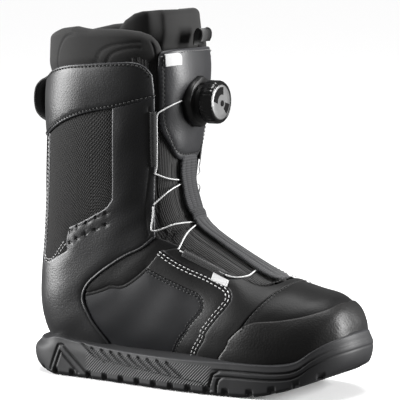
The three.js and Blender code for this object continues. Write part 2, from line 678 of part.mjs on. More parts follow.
function buildDial() {
  const centre = [DIAL_SEAT, 0, DIAL_HEIGHT];
  const sides = 32;
  const flange = turned([[-9, 0], [-9, 21], [0.8, 21], [1.8, 19.5], [1.8, 0]], sides, centre);
  const behind = [[14.7, 0], [14.7, 0.9], [18.2, 0.9], [18.2, 0]];
  const tongueSpace = sheet(isInside(behind, 'centre'), -24, 0.35, FINE, 0);
  const neck = turned([[1, 0], [1, HOUSING_RADIUS], [7, HOUSING_RADIUS], [7, 0]], sides, centre);
  const well = turned([[2.4, 0], [2.4, 11.2], [8, 11.2], [8, 0]], sides, centre);
  add('dial_housing', 'plastic', subtract(join(subtract(flange, tongueSpace), neck), well));
  const spool = [[2.8, 0], [2.8, 10.6], [3.5, 10.6], [3.9, 8.4],
    [5.2, 8.4], [5.6, 10.6], [6.2, 10.6], [6.2, 0]];
  add('dial_spool', 'plastic', turned(spool, 24, centre));
  const carrier = [[6.6, 0], [6.6, 9], [8.2, 9], [8.2, 4], [14.6, 4], [14.6, 0]];
  add('dial_carrier', 'plastic', turned(carrier, 24, centre));
  const knobFace = 19.5;
  const gripCircle = KNOB_RADIUS + 0.25;
  const grips = Array.from({ length: 16 }, (_, k) => {
    const angle = (2 * PI * (k + 0.5)) / 16;
    const [y, z] = [gripCircle * Math.cos(angle), gripCircle * Math.sin(angle)];
    return turned([[5, 0], [5, 1.1], [17, 1.1], [17, 0]], 4, [DIAL_SEAT, y, DIAL_HEIGHT + z]);
  });
  const knob = turned([
    [7.6, 15.7], [7.6, KNOB_RADIUS], [17.6, KNOB_RADIUS], [knobFace, 16.6], [knobFace, 15.2],
    [18, 15.2], [18, 4.6], [8.8, 4.6], [8.8, 15.7], [7.6, 15.7],
  ], 32, centre);
  add('dial_knob', 'plastic', subtract(knob, ...grips));
  const cap = [[18.3, 0], [18.3, 14.8], [19, 14.8], [19.4, 14], [19.4, 0]];
  add('dial_cap', 'metal_face', turned(cap, sides, centre));
  add('dial_screw', 'metal_face', turned([[15, 0], [15, 3.4], [17.4, 3.4], [17.4, 0]], 12, centre));
}

// ---------------------------------------------------------------- lace, guides, loops and labels

// Points of a lace, each [t, phi, height]; mirrored for the other side.
function laceRoute(route, mirror = false) {
  return route.map(([t, phi, height]) => pointAt(t, mirror ? -phi : phi, height));
}

function addLace(name, points, steps) {
  add(name, 'lace', outward(swept(points, roundSection(LACE_RADIUS, 6), steps)));
}

const ON_EYESTAY = 1.7;

const UNDER_SPINE = [-4.1, -2.75]; // heights of the two strands that cross under the spine

// A strand from one side's eyestay, down under the spine and up to the other side's.
function crossing(from, to, height) {
  const [t0, t1] = [from[0], to[0]];
  const near = (t, phi) => [t, phi * 0.62, ON_EYESTAY - 1.6];
  const first = near(0.75 * t0 + 0.25 * t1, from[1]);
  const last = near(0.25 * t0 + 0.75 * t1, to[1]);
  return [from, first, [(t0 + t1) / 2, 0, height], last, to];
}

function buildLaces() {
  for (const side of SIDES) {
    const mirror = side === 'medial';
    addLace(`lace_dial_${side}`, laceRoute([[16.27, 0.31, 1.6], [16.25, 0.5, 1.5], [16.22, 0.7, 1.7],
      [16.07, 0.8, ON_EYESTAY], [15.4, 0.78, ON_EYESTAY], [13.8, 0.75, ON_EYESTAY]], mirror), 16);
  }
  UNDER_SPINE.forEach((height, k) => {
    const [name, mirror] = [['a', 'b'][k], k === 1];
    addLace(`lace_cross_upper_${name}`, laceRoute(
      crossing([13.65, 0.74, ON_EYESTAY], [11.8, -0.77, ON_EYESTAY], height), mirror), 12);
    addLace(`lace_cross_lower_${name}`, laceRoute([[11.7, 0.78, ON_EYESTAY], [11, 0.83, ON_EYESTAY],
      ...crossing([10.3, 0.9, ON_EYESTAY], [8.1, -0.78, ON_EYESTAY], height)], mirror), 15);
  });
  const vamp = [[8.0, 0.78, ON_EYESTAY], [7, 0.72, ON_EYESTAY], [5.9, 0.68, ON_EYESTAY], [5.55, 0.5, 0],
    [5.5, 0.22, UNDER_SPINE[1]]];
  const mirrored = reversed(vamp).map(([t, phi, height]) => [t, -phi, height]);
  addLace('lace_vamp', laceRoute([...vamp, ...mirrored]), 26);
}

// Webbing channels that the lace lies in along the edge of the eyestay and of the vamp.
function buildGuides() {
  const reach = 0.025;
  for (const side of SIDES) {
    const sign = side === 'medial' ? -1 : 1;
    const guide = (name, from, to, cells) => {
      const corners = [[from, -reach], [to, -reach], [to, reach], [from, reach]];
      add(`lace_guide_${name}_${side}`, 'webbing', patch(
        corners.map(([[t, phi], across]) => [t, sign * (phi + across)]), 0.3, 0.8, cells));
    };
    guide('upper', [16.1, 0.8], [14, 0.75], [6, 1]);
    guide('vamp', [7.8, 0.77], [6.1, 0.69], [5, 1]);
  }
}

// A strap bent along [x, z] points in the boot's middle plane.
function strap(name, line, width, thickness, steps) {
  const points = line.map(([x, z]) => new THREE.Vector3(x, 0, z));
  add(name, 'webbing', outward(swept(points, flatSection(thickness, width), steps)));
}

function buildLoopsAndLabels() {
  add('rear_loop_anchor', 'webbing', subtract(block([9, 24, 46], [-138.5, 0, 231]), upperSpace(0.35, 18.9)));
  strap('rear_pull_loop', [
    [-147.5, 215], [-152, 215.5], [-157.5, 221], [-159.5, 231], [-157.5, 241], [-152, 246.5], [-147.5, 247],
  ], 18, 1.8, 14);
  strap('tongue_pull_loop', [
    [-1.5, 283], [-1, 291], [2, 296], [6, 294], [6.5, 288], [3.5, 283.5],
  ], 16, 1.4, 12);
  add('tongue_label', 'label', patch([[17.42, 0.31], [17.42, 0.6], [17.8, 0.6], [17.8, 0.31]], 0.3, 0.9));
  add('vamp_label', 'label', patch([[6.45, 0.76], [6.45, 0.87], [5.95, 0.85], [5.95, 0.75]], 0.3, 0.9));
}

buildUpper();
buildStiffening();
buildSole();
buildTongue();
buildLiner();
buildDial();
buildLaces();
buildGuides();
buildLoopsAndLabels();

// The origin is the middle of the ground contact box.
const box = new THREE.Box3().setFromObject(boot);
const middle = box.getCenter(new THREE.Vector3());
boot.position.set(-middle.x, -middle.y, -box.min.z);
boot.updateMatrixWorld(true);

export default boot;
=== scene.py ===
"""Visual model of the snowboard boot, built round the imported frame.

Design coordinates are the part's own, in millimetres. A point on the boot is (t, phi, height): t runs
along the boot from the toe tip to the top, phi round it from the front line, height over its outer face.
"""

import math

import bmesh
import bpy
import numpy as np
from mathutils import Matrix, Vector
from mathutils.geometry import delaunay_2d_cdt
from mathutils.kdtree import KDTree

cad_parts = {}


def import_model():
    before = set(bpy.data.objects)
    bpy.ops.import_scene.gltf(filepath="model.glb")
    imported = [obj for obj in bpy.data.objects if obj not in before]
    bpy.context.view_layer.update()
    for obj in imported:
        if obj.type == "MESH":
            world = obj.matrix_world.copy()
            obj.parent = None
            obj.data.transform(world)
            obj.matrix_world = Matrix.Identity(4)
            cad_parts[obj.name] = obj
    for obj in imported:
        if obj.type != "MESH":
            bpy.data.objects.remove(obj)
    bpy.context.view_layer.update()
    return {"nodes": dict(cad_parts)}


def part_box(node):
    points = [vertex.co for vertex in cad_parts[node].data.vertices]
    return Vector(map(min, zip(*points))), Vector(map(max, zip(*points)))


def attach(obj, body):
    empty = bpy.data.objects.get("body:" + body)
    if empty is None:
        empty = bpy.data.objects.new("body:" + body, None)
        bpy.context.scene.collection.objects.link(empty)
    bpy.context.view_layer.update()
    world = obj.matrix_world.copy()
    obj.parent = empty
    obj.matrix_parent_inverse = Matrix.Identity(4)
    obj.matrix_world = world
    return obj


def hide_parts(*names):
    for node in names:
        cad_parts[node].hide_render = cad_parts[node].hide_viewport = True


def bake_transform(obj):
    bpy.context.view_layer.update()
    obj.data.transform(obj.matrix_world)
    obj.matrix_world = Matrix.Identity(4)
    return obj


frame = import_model()

MM = 0.001
PI = math.pi
LATERAL, MEDIAL = 1, -1
SIDES = {"lateral": LATERAL, "medial": MEDIAL}
ACROSS = (0.0, 1.0, 0.0)

# The design's origin in the frame, from the dial's face.
CAP_FRONT = 19.5
cap_low, cap_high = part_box("dial_cap")
SHIFT = np.array([cap_low.x / MM - CAP_FRONT, (cap_low.y + cap_high.y) / 2 / MM, 0.0])
DIAL_HEIGHT = (cap_low.z + cap_high.z) / 2 / MM


def world(points):
    """Design millimetres as frame metres."""
    return (np.asarray(points, float) + SHIFT) * MM


# ---------------------------------------------------------------- the boot's surface

# back x, back z, front x, front z, half width, widest share, back power, front power, sideways shift
SECTIONS = np.array([
    [146, 50, 146, 50, 0, .5, 2.2, 2.2, 4], [145, 38, 144, 63, 17, .5, 2.3, 2.3, 4],
    [140, 27, 137, 75, 30, .45, 2.6, 2.3, 4], [128, 19, 124, 82, 40, .42, 2.9, 2.2, 3],
    [107, 14, 102, 87, 49, .4, 3.2, 2.1, 3], [80, 12, 74, 95, 54, .38, 3.4, 2, 2],
    [48, 12, 46, 109, 53, .36, 3.4, 1.9, 1], [12, 13, 20, 123, 50, .36, 3.3, 2, 1],
    [-28, 14, 7, 132, 47, .38, 3.2, 2.2, 0], [-70, 15, 0, 140, 45.5, .42, 3, 2.4, 0],
    [-109, 16, -4, 148, 45, .46, 2.8, 2.5, 0], [-134, 23, -7, 157, 45, .48, 2.7, 2.6, 0],
    [-146, 45, -9, 166, 45.5, .49, 2.7, 2.6, 0], [-148, 75, -10, 176, 46, .5, 2.6, 2.7, 0],
    [-145, 110, -9, 190, 47.5, .5, 2.5, 2.7, 0], [-142, 148, -7, 208, 50, .49, 2.4, 2.7, 0],
    [-140, 188, -4, 230, 53, .48, 2.3, 2.7, 0], [-139, 228, -2, 255, 55, .48, 2.3, 2.7, 0],
    [-138, 266, -3, 281, 56, .48, 2.3, 2.7, 0], [-137, 290, -6, 308, 55, .48, 2.3, 2.7, 0],
    [-136, 314, -9, 335, 54, .48, 2.3, 2.7, 0]], float)
LAST = len(SECTIONS) - 1
PADDING_TOP = -5.8


def section(t):
    """Rows of SECTIONS between two of them, by a Catmull-Rom curve through each column."""
    t = np.clip(np.asarray(t, float), 0, LAST)
    i = np.minimum(t.astype(int), LAST - 1)
    u = (t - i)[..., None]
    a, b, c, d = (SECTIONS[np.clip(i + k, 0, LAST)] for k in (-1, 0, 1, 2))
    return 0.5 * (2 * b + (c - a) * u + (2 * a - 5 * b + 4 * c - d) * u**2 + (3 * b - a - 3 * c + d) * u**3)


def face(t, phi):
    """Points of the outer face."""
    t, phi = np.broadcast_arrays(np.asarray(t, float), np.asarray(phi, float))
    back_x, back_z, front_x, front_z, half, widest, back, front, shift = np.moveaxis(section(t), -1, 0)
    cos, sin = np.cos(phi), np.sin(phi)
    power = np.where(cos >= 0, front, back)
    along = np.abs(cos) ** (2 / power)
    s = np.where(cos >= 0, widest + (1 - widest) * along, widest - widest * along)
    y = shift - np.sign(sin) * half * np.abs(sin) ** (2 / power)
    return np.stack([back_x + (front_x - back_x) * s, y, back_z + (front_z - back_z) * s], -1)


def unit(v):
    return v / (np.linalg.norm(v, axis=-1, keepdims=True) + 1e-12)


def directions(t, phi):
    """Steps of the face per t and per phi, and its outward normal."""
    step = 1e-3
    t = np.clip(np.asarray(t, float), 0.05, LAST - 2 * step)
    along = (face(t + step, phi) - face(t - step, phi)) / (2 * step)
    around = (face(t, phi + step) - face(t, phi - step)) / (2 * step)
    return along, around, unit(np.cross(along, around))


def at(t, phi, height):
    """Points at a height over the face. Deep ones move towards the middle of their section."""
    t, phi, height = np.broadcast_arrays(*(np.asarray(v, float) for v in (t, phi, height)))
    normal = directions(t, phi)[2]
    points = face(t, phi) + normal * np.maximum(height, PADDING_TOP)[..., None]
    rows = section(t)
    share = rows[..., 5]
    middle = np.stack([rows[..., 0] + (rows[..., 2] - rows[..., 0]) * share, rows[..., 8],
                       rows[..., 1] + (rows[..., 3] - rows[..., 1]) * share], -1)
    depth = np.maximum(PADDING_TOP - height, 0)[..., None]
    return points + unit(middle - points) * depth


def smooth(a, b, x):
    """0 before a, 1 after b, and smooth between."""
    u = np.clip((np.asarray(x, float) - a) / (b - a), 0, 1)
    return u * u * (3 - 2 * u)


def rounded(q):
    """The rise of a quarter circle, 0 to 1, as q goes from 0 to 1."""
    return np.sqrt(np.clip(1 - (1 - np.clip(q, 0, 1)) ** 2, 0, 1))


def turns(count):
    """count angles, evenly spaced round a circle."""
    return np.linspace(0, 2 * PI, count, endpoint=False)


def patch(t_from, t_to, rows, phi_from, phi_to, columns):
    """Grids of t and phi over a patch of the surface."""
    return np.meshgrid(np.linspace(t_from, t_to, rows), np.linspace(phi_from, phi_to, columns), indexing="ij")


# ---------------------------------------------------------------- lines on the surface

# Millimetres, roughly, for one unit of t and of phi.
ROUGH_SCALE = np.array([25.0, 45.0])


def gaps(points):
    """Distances from each point to the next."""
    return np.linalg.norm(np.diff(points, axis=0), axis=1)


def summed(steps):
    """Running total of steps, from 0."""
    return np.r_[0, np.cumsum(steps)]


def spaced(flat, lengths, count, endpoint=True):
    """count places on a line of flat points, evenly spaced over its lengths."""
    places = np.linspace(0, lengths[-1], count, endpoint=endpoint)
    return np.stack([np.interp(places, lengths, flat[:, k]) for k in (0, 1)], 1)


def resampled(tp, step):
    """The same (t, phi) line with points about step mm apart."""
    lengths = summed(gaps(face(*tp.T)))
    return spaced(tp, lengths, max(2, int(round(lengths[-1] / step)) + 1))


def curve(points, knots, count):
    """count places along a smooth cubic through the points, evenly spaced over its knots."""
    slopes = np.gradient(points, knots, axis=0)
    places = np.linspace(0, knots[-1], count)
    i = np.clip(np.searchsorted(knots, places, side="right") - 1, 0, len(points) - 2)
    width = (knots[i + 1] - knots[i])[:, None]
    u = (places - knots[i])[:, None] / width
    return ((2 * u**3 - 3 * u**2 + 1) * points[i] + (u**3 - 2 * u**2 + u) * width * slopes[i]
            + (3 * u**2 - 2 * u**3) * points[i + 1] + (u**3 - u**2) * width * slopes[i + 1])


def line(points, step=1.3):
    """A smooth (t, phi) line through the given points."""
    p = np.asarray(points, float)
    if len(p) == 2:
        return resampled(p[0] + (p[1] - p[0]) * np.linspace(0, 1, 60)[:, None], step)
    return resampled(curve(p, summed(np.sqrt(gaps(p * ROUGH_SCALE))), 40 * len(p)), step)


def joined(*seams):
    """A closed outline from seams that follow each other, anticlockwise seen from outside."""
    parts = [line(seam) for seam in seams]
    outline = np.concatenate([part[:-1] for part in parts])
    gap = np.linalg.norm(face(*parts[-1][-1]) - face(*outline[0]))
    if gap > 1:
        closing = line([parts[-1][-1], outline[0]])
        outline = np.concatenate([outline, closing[:-1]])
    return outline


def mirrored_half(half, about=0.0):
    """A closed outline from one half and its mirror image about phi = about."""
    other = half[::-1].copy()
    other[:, 1] = 2 * about - other[:, 1]
    return np.concatenate([half, other[1:-1]])


def offset(tp, distance, closed=False):
    """The line moved sideways by distance mm, to the left seen from outside."""
    points = face(*tp.T)
    if closed:
        tangent = np.roll(points, -1, 0) - np.roll(points, 1, 0)
    else:
        tangent = np.gradient(points, axis=0)
    along, around, normal = directions(*tp.T)
    side = unit(np.cross(normal, tangent))
    aa, ar, rr = (along * along).sum(1), (along * around).sum(1), (around * around).sum(1)
    x, y = distance * (along * side).sum(1), distance * (around * side).sum(1)
    determinant = aa * rr - ar * ar + 1e-9
    return tp + np.stack([(rr * x - ar * y) / determinant, (aa * y - ar * x) / determinant], 1)


class Near:
    """Distances from points to the nearest of a set of points."""

    def __init__(self, points):
        self.tree = KDTree(len(points))
        for k, point in enumerate(points):
            self.tree.insert(point, k)
        self.tree.balance()

    def __call__(self, points):
        return np.array([self.tree.find(p)[2] for p in points])


def dense(tp, closed=False):
    """Points of a line, 0.3 mm apart, for measuring distances."""
    if closed:
        tp = np.concatenate([tp, tp[:1]])
    return face(*resampled(tp, 0.3).T)


def inside(polygon, points):
    """Which flat points lie inside a flat polygon."""
    x, y = points.T
    result = np.zeros(len(points), bool)
    for (x0, y0), (x1, y1) in zip(polygon, np.roll(polygon, -1, 0)):
        crosses = (y0 > y) != (y1 > y)
        if y0 != y1:
            result ^= crosses & (x < (x1 - x0) * (y - y0) / (y1 - y0) + x0)
    return result


class Strip:
    """A flat chart of part of the surface, in about millimetres."""

    def __init__(self, outline):
        along, around, _ = directions(*outline.T)
        self.scale = np.array([np.median(np.linalg.norm(along, axis=1)), np.median(np.linalg.norm(around, axis=1))])

    def flat(self, tp):
        return tp * self.scale

    def back(self, uv):
        return uv / self.scale


class Tip:
    """A flat chart round the toe's tip, where t is 0. It is the same for every outline."""

    scale = 24.0

    def __init__(self, _):
        pass

    def flat(self, tp):
        t, phi = tp.T
        return np.stack([t * np.cos(phi), t * np.sin(phi)], 1) * self.scale

    def back(self, uv):
        return np.stack([np.hypot(*uv.T) / self.scale, np.arctan2(uv[:, 1], uv[:, 0])], 1)


# ---------------------------------------------------------------- meshes

def added(name, data):
    """A new object in the scene."""
    obj = bpy.data.objects.new(name, data)
    bpy.context.scene.collection.objects.link(obj)
    return obj


def piece(name, points, faces, material, uv=None, marks=None):
    """A new mesh object from design points, with UVs in millimetres and float marks on its points."""
    mesh = bpy.data.meshes.new(name)
    mesh.from_pydata(world(points).tolist(), [], [list(map(int, f)) for f in faces])
    mesh.materials.append(material)
    if uv is not None:
        corners = np.empty(len(mesh.loops), np.int32)
        mesh.loops.foreach_get("vertex_index", corners)
        mesh.uv_layers.new(name="UVMap").data.foreach_set("uv", np.asarray(uv, np.float32)[corners].ravel())
    for mark, values in (marks or {}).items():
        mesh.attributes.new(mark, "FLOAT", "POINT").data.foreach_set("value", np.asarray(values, np.float32))
    mesh.shade_smooth()
    return added(name, mesh)


def weld(obj, distance=2e-6):
    """Joins points that lie on each other."""
    work = bmesh.new()
    work.from_mesh(obj.data)
    bmesh.ops.remove_doubles(work, verts=work.verts, dist=distance)
    work.to_mesh(obj.data)
    work.free()


def belongs(obj, slot, body="root", nodes=(), fill=None, bend=None):
    """Parents a piece to the empty of its body, or with bend bakes its transform and leaves it unparented, and hides
    the CAD nodes it stands for. slot and fill are not used.
    """
    if bend:
        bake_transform(obj)
    else:
        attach(obj, body)
    if nodes:
        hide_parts(*nodes)
    return obj


def solidify(obj, thickness):
    """Gives a single sheet a thickness in mm, inwards."""
    modifier = obj.modifiers.new("thickness", "SOLIDIFY")
    modifier.thickness = thickness * MM
    modifier.offset = -1
    mesh = bpy.data.meshes.new_from_object(obj.evaluated_get(bpy.context.evaluated_depsgraph_get()))
    obj.modifiers.clear()
    obj.data = mesh
    mesh.shade_smooth()


EDGE_RINGS = (0.2, 0.5, 0.95, 1.7)
GRID = 3.0
# The second reach is how far in, in mm, a panel's edge is painted paler: partly wear, partly a painted highlight.
PUFF_REACH, WEAR_AND_HIGHLIGHT_REACH = 7, 0.9


def fill_outline(outline, chart, lines=(), spots=(), spacing=GRID):
    """(t, phi) points and triangles that fill an outline, denser along its edge, lines and spots."""
    polygon = chart.flat(outline)
    measure = Near(dense(outline, True))
    chosen = [outline]
    for ring in EDGE_RINGS:
        moved = offset(outline, ring, True)
        chosen.append(moved[inside(polygon, chart.flat(moved)) & (measure(face(*moved.T)) > 0.75 * ring)])
    details = []
    for tp, width in lines:
        for side in (-1.6, -0.8, 0, 0.8, 1.6):
            details.append(offset(tp, side * width))
    for t, phi, radius in spots:
        turn = turns(14)
        along, around, _ = directions(t, phi)
        for share in (0, 0.45, 0.8, 1.0, 1.25):
            details.append(np.stack([t + np.cos(turn) * radius * share / np.linalg.norm(along),
                                     phi + np.sin(turn) * radius * share / np.linalg.norm(around)], 1)
                           if share else np.array([[t, phi]]))
    if details:
        details = np.concatenate(details)
        keep = inside(polygon, chart.flat(details)) & (measure(face(*details.T)) > EDGE_RINGS[-1] * 0.6)
        details = details[keep]
        chosen.append(details)
    low, high = polygon.min(0), polygon.max(0)
    x, y = np.meshgrid(np.arange(low[0], high[0], spacing), np.arange(low[1], high[1], spacing * 0.87))
    x = x + (np.arange(x.shape[0]) % 2)[:, None] * spacing / 2
    grid = np.stack([x.ravel(), y.ravel()], 1)
    grid = chart.back(grid[inside(polygon, grid)])
    points = face(*grid.T)
    keep = measure(points) > EDGE_RINGS[-1] + spacing * 0.45
    if len(details):
        keep &= Near(face(*details.T))(points) > spacing * 0.5
    chosen.append(grid[keep])
    flat = chart.flat(np.concatenate(chosen))
    count = len(outline)
    edges = [(k, (k + 1) % count) for k in range(count)]
    vertices, _, triangles, *_ = delaunay_2d_cdt([Vector(p) for p in flat], edges, [], 1, 1e-5)
    return chart.back(np.array([list(v) for v in vertices])), triangles, measure


def sheet(name, material, outline, top, low=-2.8, side=LATERAL, chart=Strip, edge=0.7, puff=0.0,
          grooves=(), spots=(), waves=0.0, spread=0.0, spacing=GRID, **ties):
    """A panel cut from the surface: rounded edges, sewn grooves (line, depth, width) and punched spots.

    waves is the size in mm of its soft, uneven hills, as leather has over padding after long use. ties go to belongs.
    """
    u, v = chart(outline).flat(outline).T
    if np.sum(u * np.roll(v, -1) - v * np.roll(u, -1)) < 0:
        outline = outline[::-1].copy()
    if spread:
        outline = offset(outline, -spread, True)
    tp, triangles, measure = fill_outline(
        outline, chart(outline), [(g, width) for g, _, width in grooves], spots, spacing)
    points = face(*tp.T)
    depth = measure(points)
    height = top + edge * (rounded(depth / edge) - 1) + puff * (1 - np.exp(-depth / PUFF_REACH))
    # seam marks the sewn grooves and punched holes, which the materials darken: painted shade in these hollows.
    seam = np.zeros(len(tp))
    for groove, deep, width in grooves:
        near = np.exp(-((Near(dense(groove))(points) / width) ** 2))
        height -= deep * near
        seam = np.maximum(seam, near)
    for t, phi, radius in spots:
        near = np.linalg.norm(points - face(t, phi), axis=1) / radius
        hole = 1 - smooth(0.75, 1.05, near)
        height -= hole
        seam = np.maximum(seam, hole * 1.5)
    t, phi = tp.T
    swell = np.sin(3.1 * t + 2.3 * phi) + 0.7 * np.sin(5.3 * t - 6.1 * phi + 1.2) + 0.5 * np.sin(11 * phi + 2 * t)
    height += waves * swell / 2.2 * smooth(2, 9, depth)
    rim = top - edge
    start = len(tp)
    count = len(outline)
    heights = np.concatenate([height, np.full(count, rim), np.full(count, low)])
    everything = np.concatenate([tp, outline, outline])
    faces = [tuple(f) for f in triangles]
    for k in range(count):
        after = (k + 1) % count
        faces.append((start + k, start + count + k, start + count + after, start + after))
    if side == MEDIAL:
        faces = [f[::-1] for f in faces]
    positions = at(everything[:, 0], everything[:, 1] * side, heights)
    along, around = (np.median(np.linalg.norm(v, axis=1)) for v in directions(*outline.T)[:2])
    uv = everything * [along, around * side]
    # Paler at the edge and on the side wall: partly edge wear, partly a painted highlight along the rounded edge.
    wear_and_highlight = np.concatenate([np.exp(-depth / WEAR_AND_HIGHLIGHT_REACH), np.ones(count), np.zeros(count)])
    obj = piece(name, positions, faces, material, uv,
                {"wear_and_highlight": wear_and_highlight, "seam": np.concatenate([seam, np.zeros(2 * count)])})
    weld(obj)
    return belongs(obj, **ties)


def tube(name, material, points, radius, flat=None, **ties):
    """A round cord along design points, or a flat strap of flat = (width, thickness) across Y. ties go to belongs."""
    p = np.asarray(points, float)
    tangent = unit(np.gradient(p, axis=0))
    reference = np.array(ACROSS) if flat else np.array([0.3, 0.5, 0.8])
    first = unit(np.cross(tangent, reference))
    second = unit(np.cross(tangent, first))
    if flat:
        width, thickness = flat
        corner = thickness * 0.45
        shape = []
        for sy, sx in ((1, 1), (1, -1), (-1, -1), (-1, 1)):
            cy, cx = sy * (width / 2 - corner), sx * (thickness / 2 - corner)
            for k in range(4):
                turn = PI / 2 * (k / 3)
                dy, dx = (math.cos(turn), math.sin(turn)) if sy == sx else (math.sin(turn), math.cos(turn))
                shape.append((cx + sx * corner * dx, cy + sy * corner * dy))
        shape = np.array(shape)
    else:
        turn = turns(8)
        shape = np.stack([np.cos(turn), np.sin(turn)], 1) * radius
    count = len(shape)
    rings = p[:, None] + first[:, None] * shape[None, :, :1] + second[:, None] * shape[None, :, 1:]
    faces = []
    for i in range(len(p) - 1):
        for k in range(count):
            j = (k + 1) % count
            faces.append((i * count + k, (i + 1) * count + k, (i + 1) * count + j, i * count + j))
    faces.append(tuple(range(count)))
    faces.append(tuple((len(p) - 1) * count + k for k in reversed(range(count))))
    uv = np.stack(np.meshgrid(summed(gaps(p)), summed(gaps(shape)), indexing="ij"), -1).reshape(-1, 2)
    return belongs(piece(name, rings.reshape(-1, 3), faces, material, uv), **ties)


def through(points, count):
    """A smooth line of count points through the given 3-D points."""
    p = np.asarray(points, float)
    return curve(p, summed(np.sqrt(gaps(p))), count)


def quads(rows, columns, closed, base=0):
    """Faces between the points of a grid; closed joins the last column to the first."""
    return [tuple(base + place for place in (i * columns + k, i * columns + j, (i + 1) * columns + j,
                                             (i + 1) * columns + k))
            for i in range(rows - 1) for k in range(columns if closed else columns - 1)
            for j in ((k + 1) % columns,)]


STITCH_PROFILE = [(-0.5, 0.35, -0.35), (-0.36, 1, 0.05), (0, 1.1, 0.18), (0.36, 1, 0.05), (0.5, 0.35, -0.35)]


def stitches(name, material, rows, height, side=LATERAL, pitch=3.6, length=2.3, radius=0.33, body="root"):
    """Sewn stitches along (t, phi) lines, each a small rounded thread sunk at its ends."""
    turn = turns(6)
    points, faces = [], []
    for row in rows:
        tp = resampled(row, pitch)
        centres = at(tp[:, 0], tp[:, 1] * side, height)
        tangent = unit(np.gradient(centres, axis=0))
        normal = directions(tp[:, 0], tp[:, 1] * side)[2]
        across = unit(np.cross(normal, tangent))
        for centre, forward, up, sideways in zip(centres, tangent, normal, across):
            base = len(points)
            for share, thick, lift in STITCH_PROFILE:
                for angle in turn:
                    points.append(centre + forward * share * length + up * (lift * radius * 2 + math.sin(angle)
                                  * radius * thick) + sideways * math.cos(angle) * radius * thick)
            faces += quads(len(STITCH_PROFILE), 6, True, base)
            faces.append(tuple(base + k for k in reversed(range(6))))
            faces.append(tuple(base + (len(STITCH_PROFILE) - 1) * 6 + k for k in range(6)))
    return belongs(piece(name, points, faces, material), "lace", body)


def grid_piece(name, material, points, closed=False, uv=None, marks=None, flip=False, thickness=0.0, **ties):
    """A mesh from a grid of points; closed joins the last column to the first, and points that meet.

    A thickness in mm makes a single sheet solid. ties go to belongs.
    """
    faces = quads(*points.shape[:2], closed)
    if flip:
        faces = [quad[::-1] for quad in faces]
    obj = piece(name, points.reshape(-1, 3), faces, material, None if uv is None else np.asarray(uv).reshape(-1, 2),
                {k: np.asarray(v).ravel() for k, v in (marks or {}).items()})
    if closed:
        weld(obj, 1e-5)
    if thickness:
        solidify(obj, thickness)
    return belongs(obj, **ties)


def turned(name, material, profile, centre, segments=96, swing=None, **ties):
    """A body turned about X: profile (x, radius), with swing(angle, x, radius) changing the radius.

    ties go to belongs.
    """
    profile = np.asarray(profile, float)
    turn = turns(segments)
    x = np.repeat(profile[:, :1], segments, 1)
    radius = np.repeat(profile[:, 1:], segments, 1)
    if swing is not None:
        radius = swing(turn[None, :], x, radius)
    points = np.stack([x, radius * np.cos(turn), radius * np.sin(turn)], -1) + np.asarray(centre, float)
    uv = np.stack([np.repeat(summed(gaps(profile))[:, None], segments, 1), turn[None, :] * np.maximum(radius, 1)], -1)
    return grid_piece(name, material, points, True, uv, **ties)


# ---------------------------------------------------------------- materials

class Graph:
    """A material's node tree with a Principled shader."""

    def __init__(self, name, **settings):
        self.material = bpy.data.materials.new(name)
        self.material.use_nodes = True
        self.tree = self.material.node_tree
        self.shader = self.tree.nodes["Principled BSDF"]
        for key, value in settings.items():
            self.shader.inputs[key.replace("_", " ")].default_value = value

    def node(self, kind, inputs=(), out=0, **properties):
        made = self.tree.nodes.new("ShaderNode" + kind)
        for key, value in properties.items():
            setattr(made, key, value)
        for key, value in dict(inputs).items():
            self.set(made.inputs[key], value)
        return made.outputs[out]

    def set(self, socket, value):
        if isinstance(value, bpy.types.NodeSocket):
            self.tree.links.new(value, socket)
        else:
            socket.default_value = value

    def math(self, operation, a, b=0.0, clamp=False):
        return self.node("Math", {0: a, 1: b}, operation=operation, use_clamp=clamp)

    def times(self, a, b, clamp=False):
        return self.math("MULTIPLY", a, b, clamp)

    def plus(self, a, b):
        return self.math("ADD", a, b)

    def split(self, vector):
        """The X, Y and Z of a vector."""
        node = self.tree.nodes.new("ShaderNodeSeparateXYZ")
        self.tree.links.new(vector, node.inputs[0])
        return node.outputs

    def marked(self, mark, share, colour, other):
        """A colour that changes to another where the mesh is marked."""
        return self.mix(self.times(self.mark(mark), share, True), colour, other)

    def mix(self, factor, a, b):
        return self.node("Mix", {0: factor, 6: a, 7: b}, out=2, data_type="RGBA")

    def place(self):
        return self.node("TexCoord", out=3)

    def noise(self, scale, detail=3.0, vector=None):
        return self.node("TexNoise", {"Vector": vector or self.place(), "Scale": scale, "Detail": detail})

    def mark(self, name):
        return self.node("Attribute", out=2, attribute_name=name)

    def wave(self, period, direction):
        """A sine wave, 0 to 1, with its period in UV millimetres along a flat direction."""
        u, v, _ = self.split(self.node("UVMap", uv_map="UVMap"))
        x, y = (self.times(part, step * 2 * PI / period) for part, step in zip((u, v), direction))
        sine = self.math("SINE", self.plus(x, y))
        return self.times(self.plus(sine, 1.0), 0.5)

    def finish(self, colour, roughness, height=None, strength=0.5, depth=0.0003):
        self.set(self.shader.inputs["Base Color"], colour)
        self.set(self.shader.inputs["Roughness"], roughness)
        if height is not None:
            bump = self.node("Bump", {"Height": height, "Strength": strength, "Distance": depth})
            self.tree.links.new(bump, self.shader.inputs["Normal"])
        return self.material


def shade(value, tint=(1.0, 1.0, 1.0)):
    """A linear colour from an sRGB grey of 0 to 255 and a tint."""
    level = value / 255
    linear = level / 12.92 if level <= 0.04045 else ((level + 0.055) / 1.055) ** 2.4
    return (linear * tint[0], linear * tint[1], linear * tint[2], 1.0)


COOL = (0.97, 0.98, 1.08)
WARM = (1.05, 0.99, 0.96)


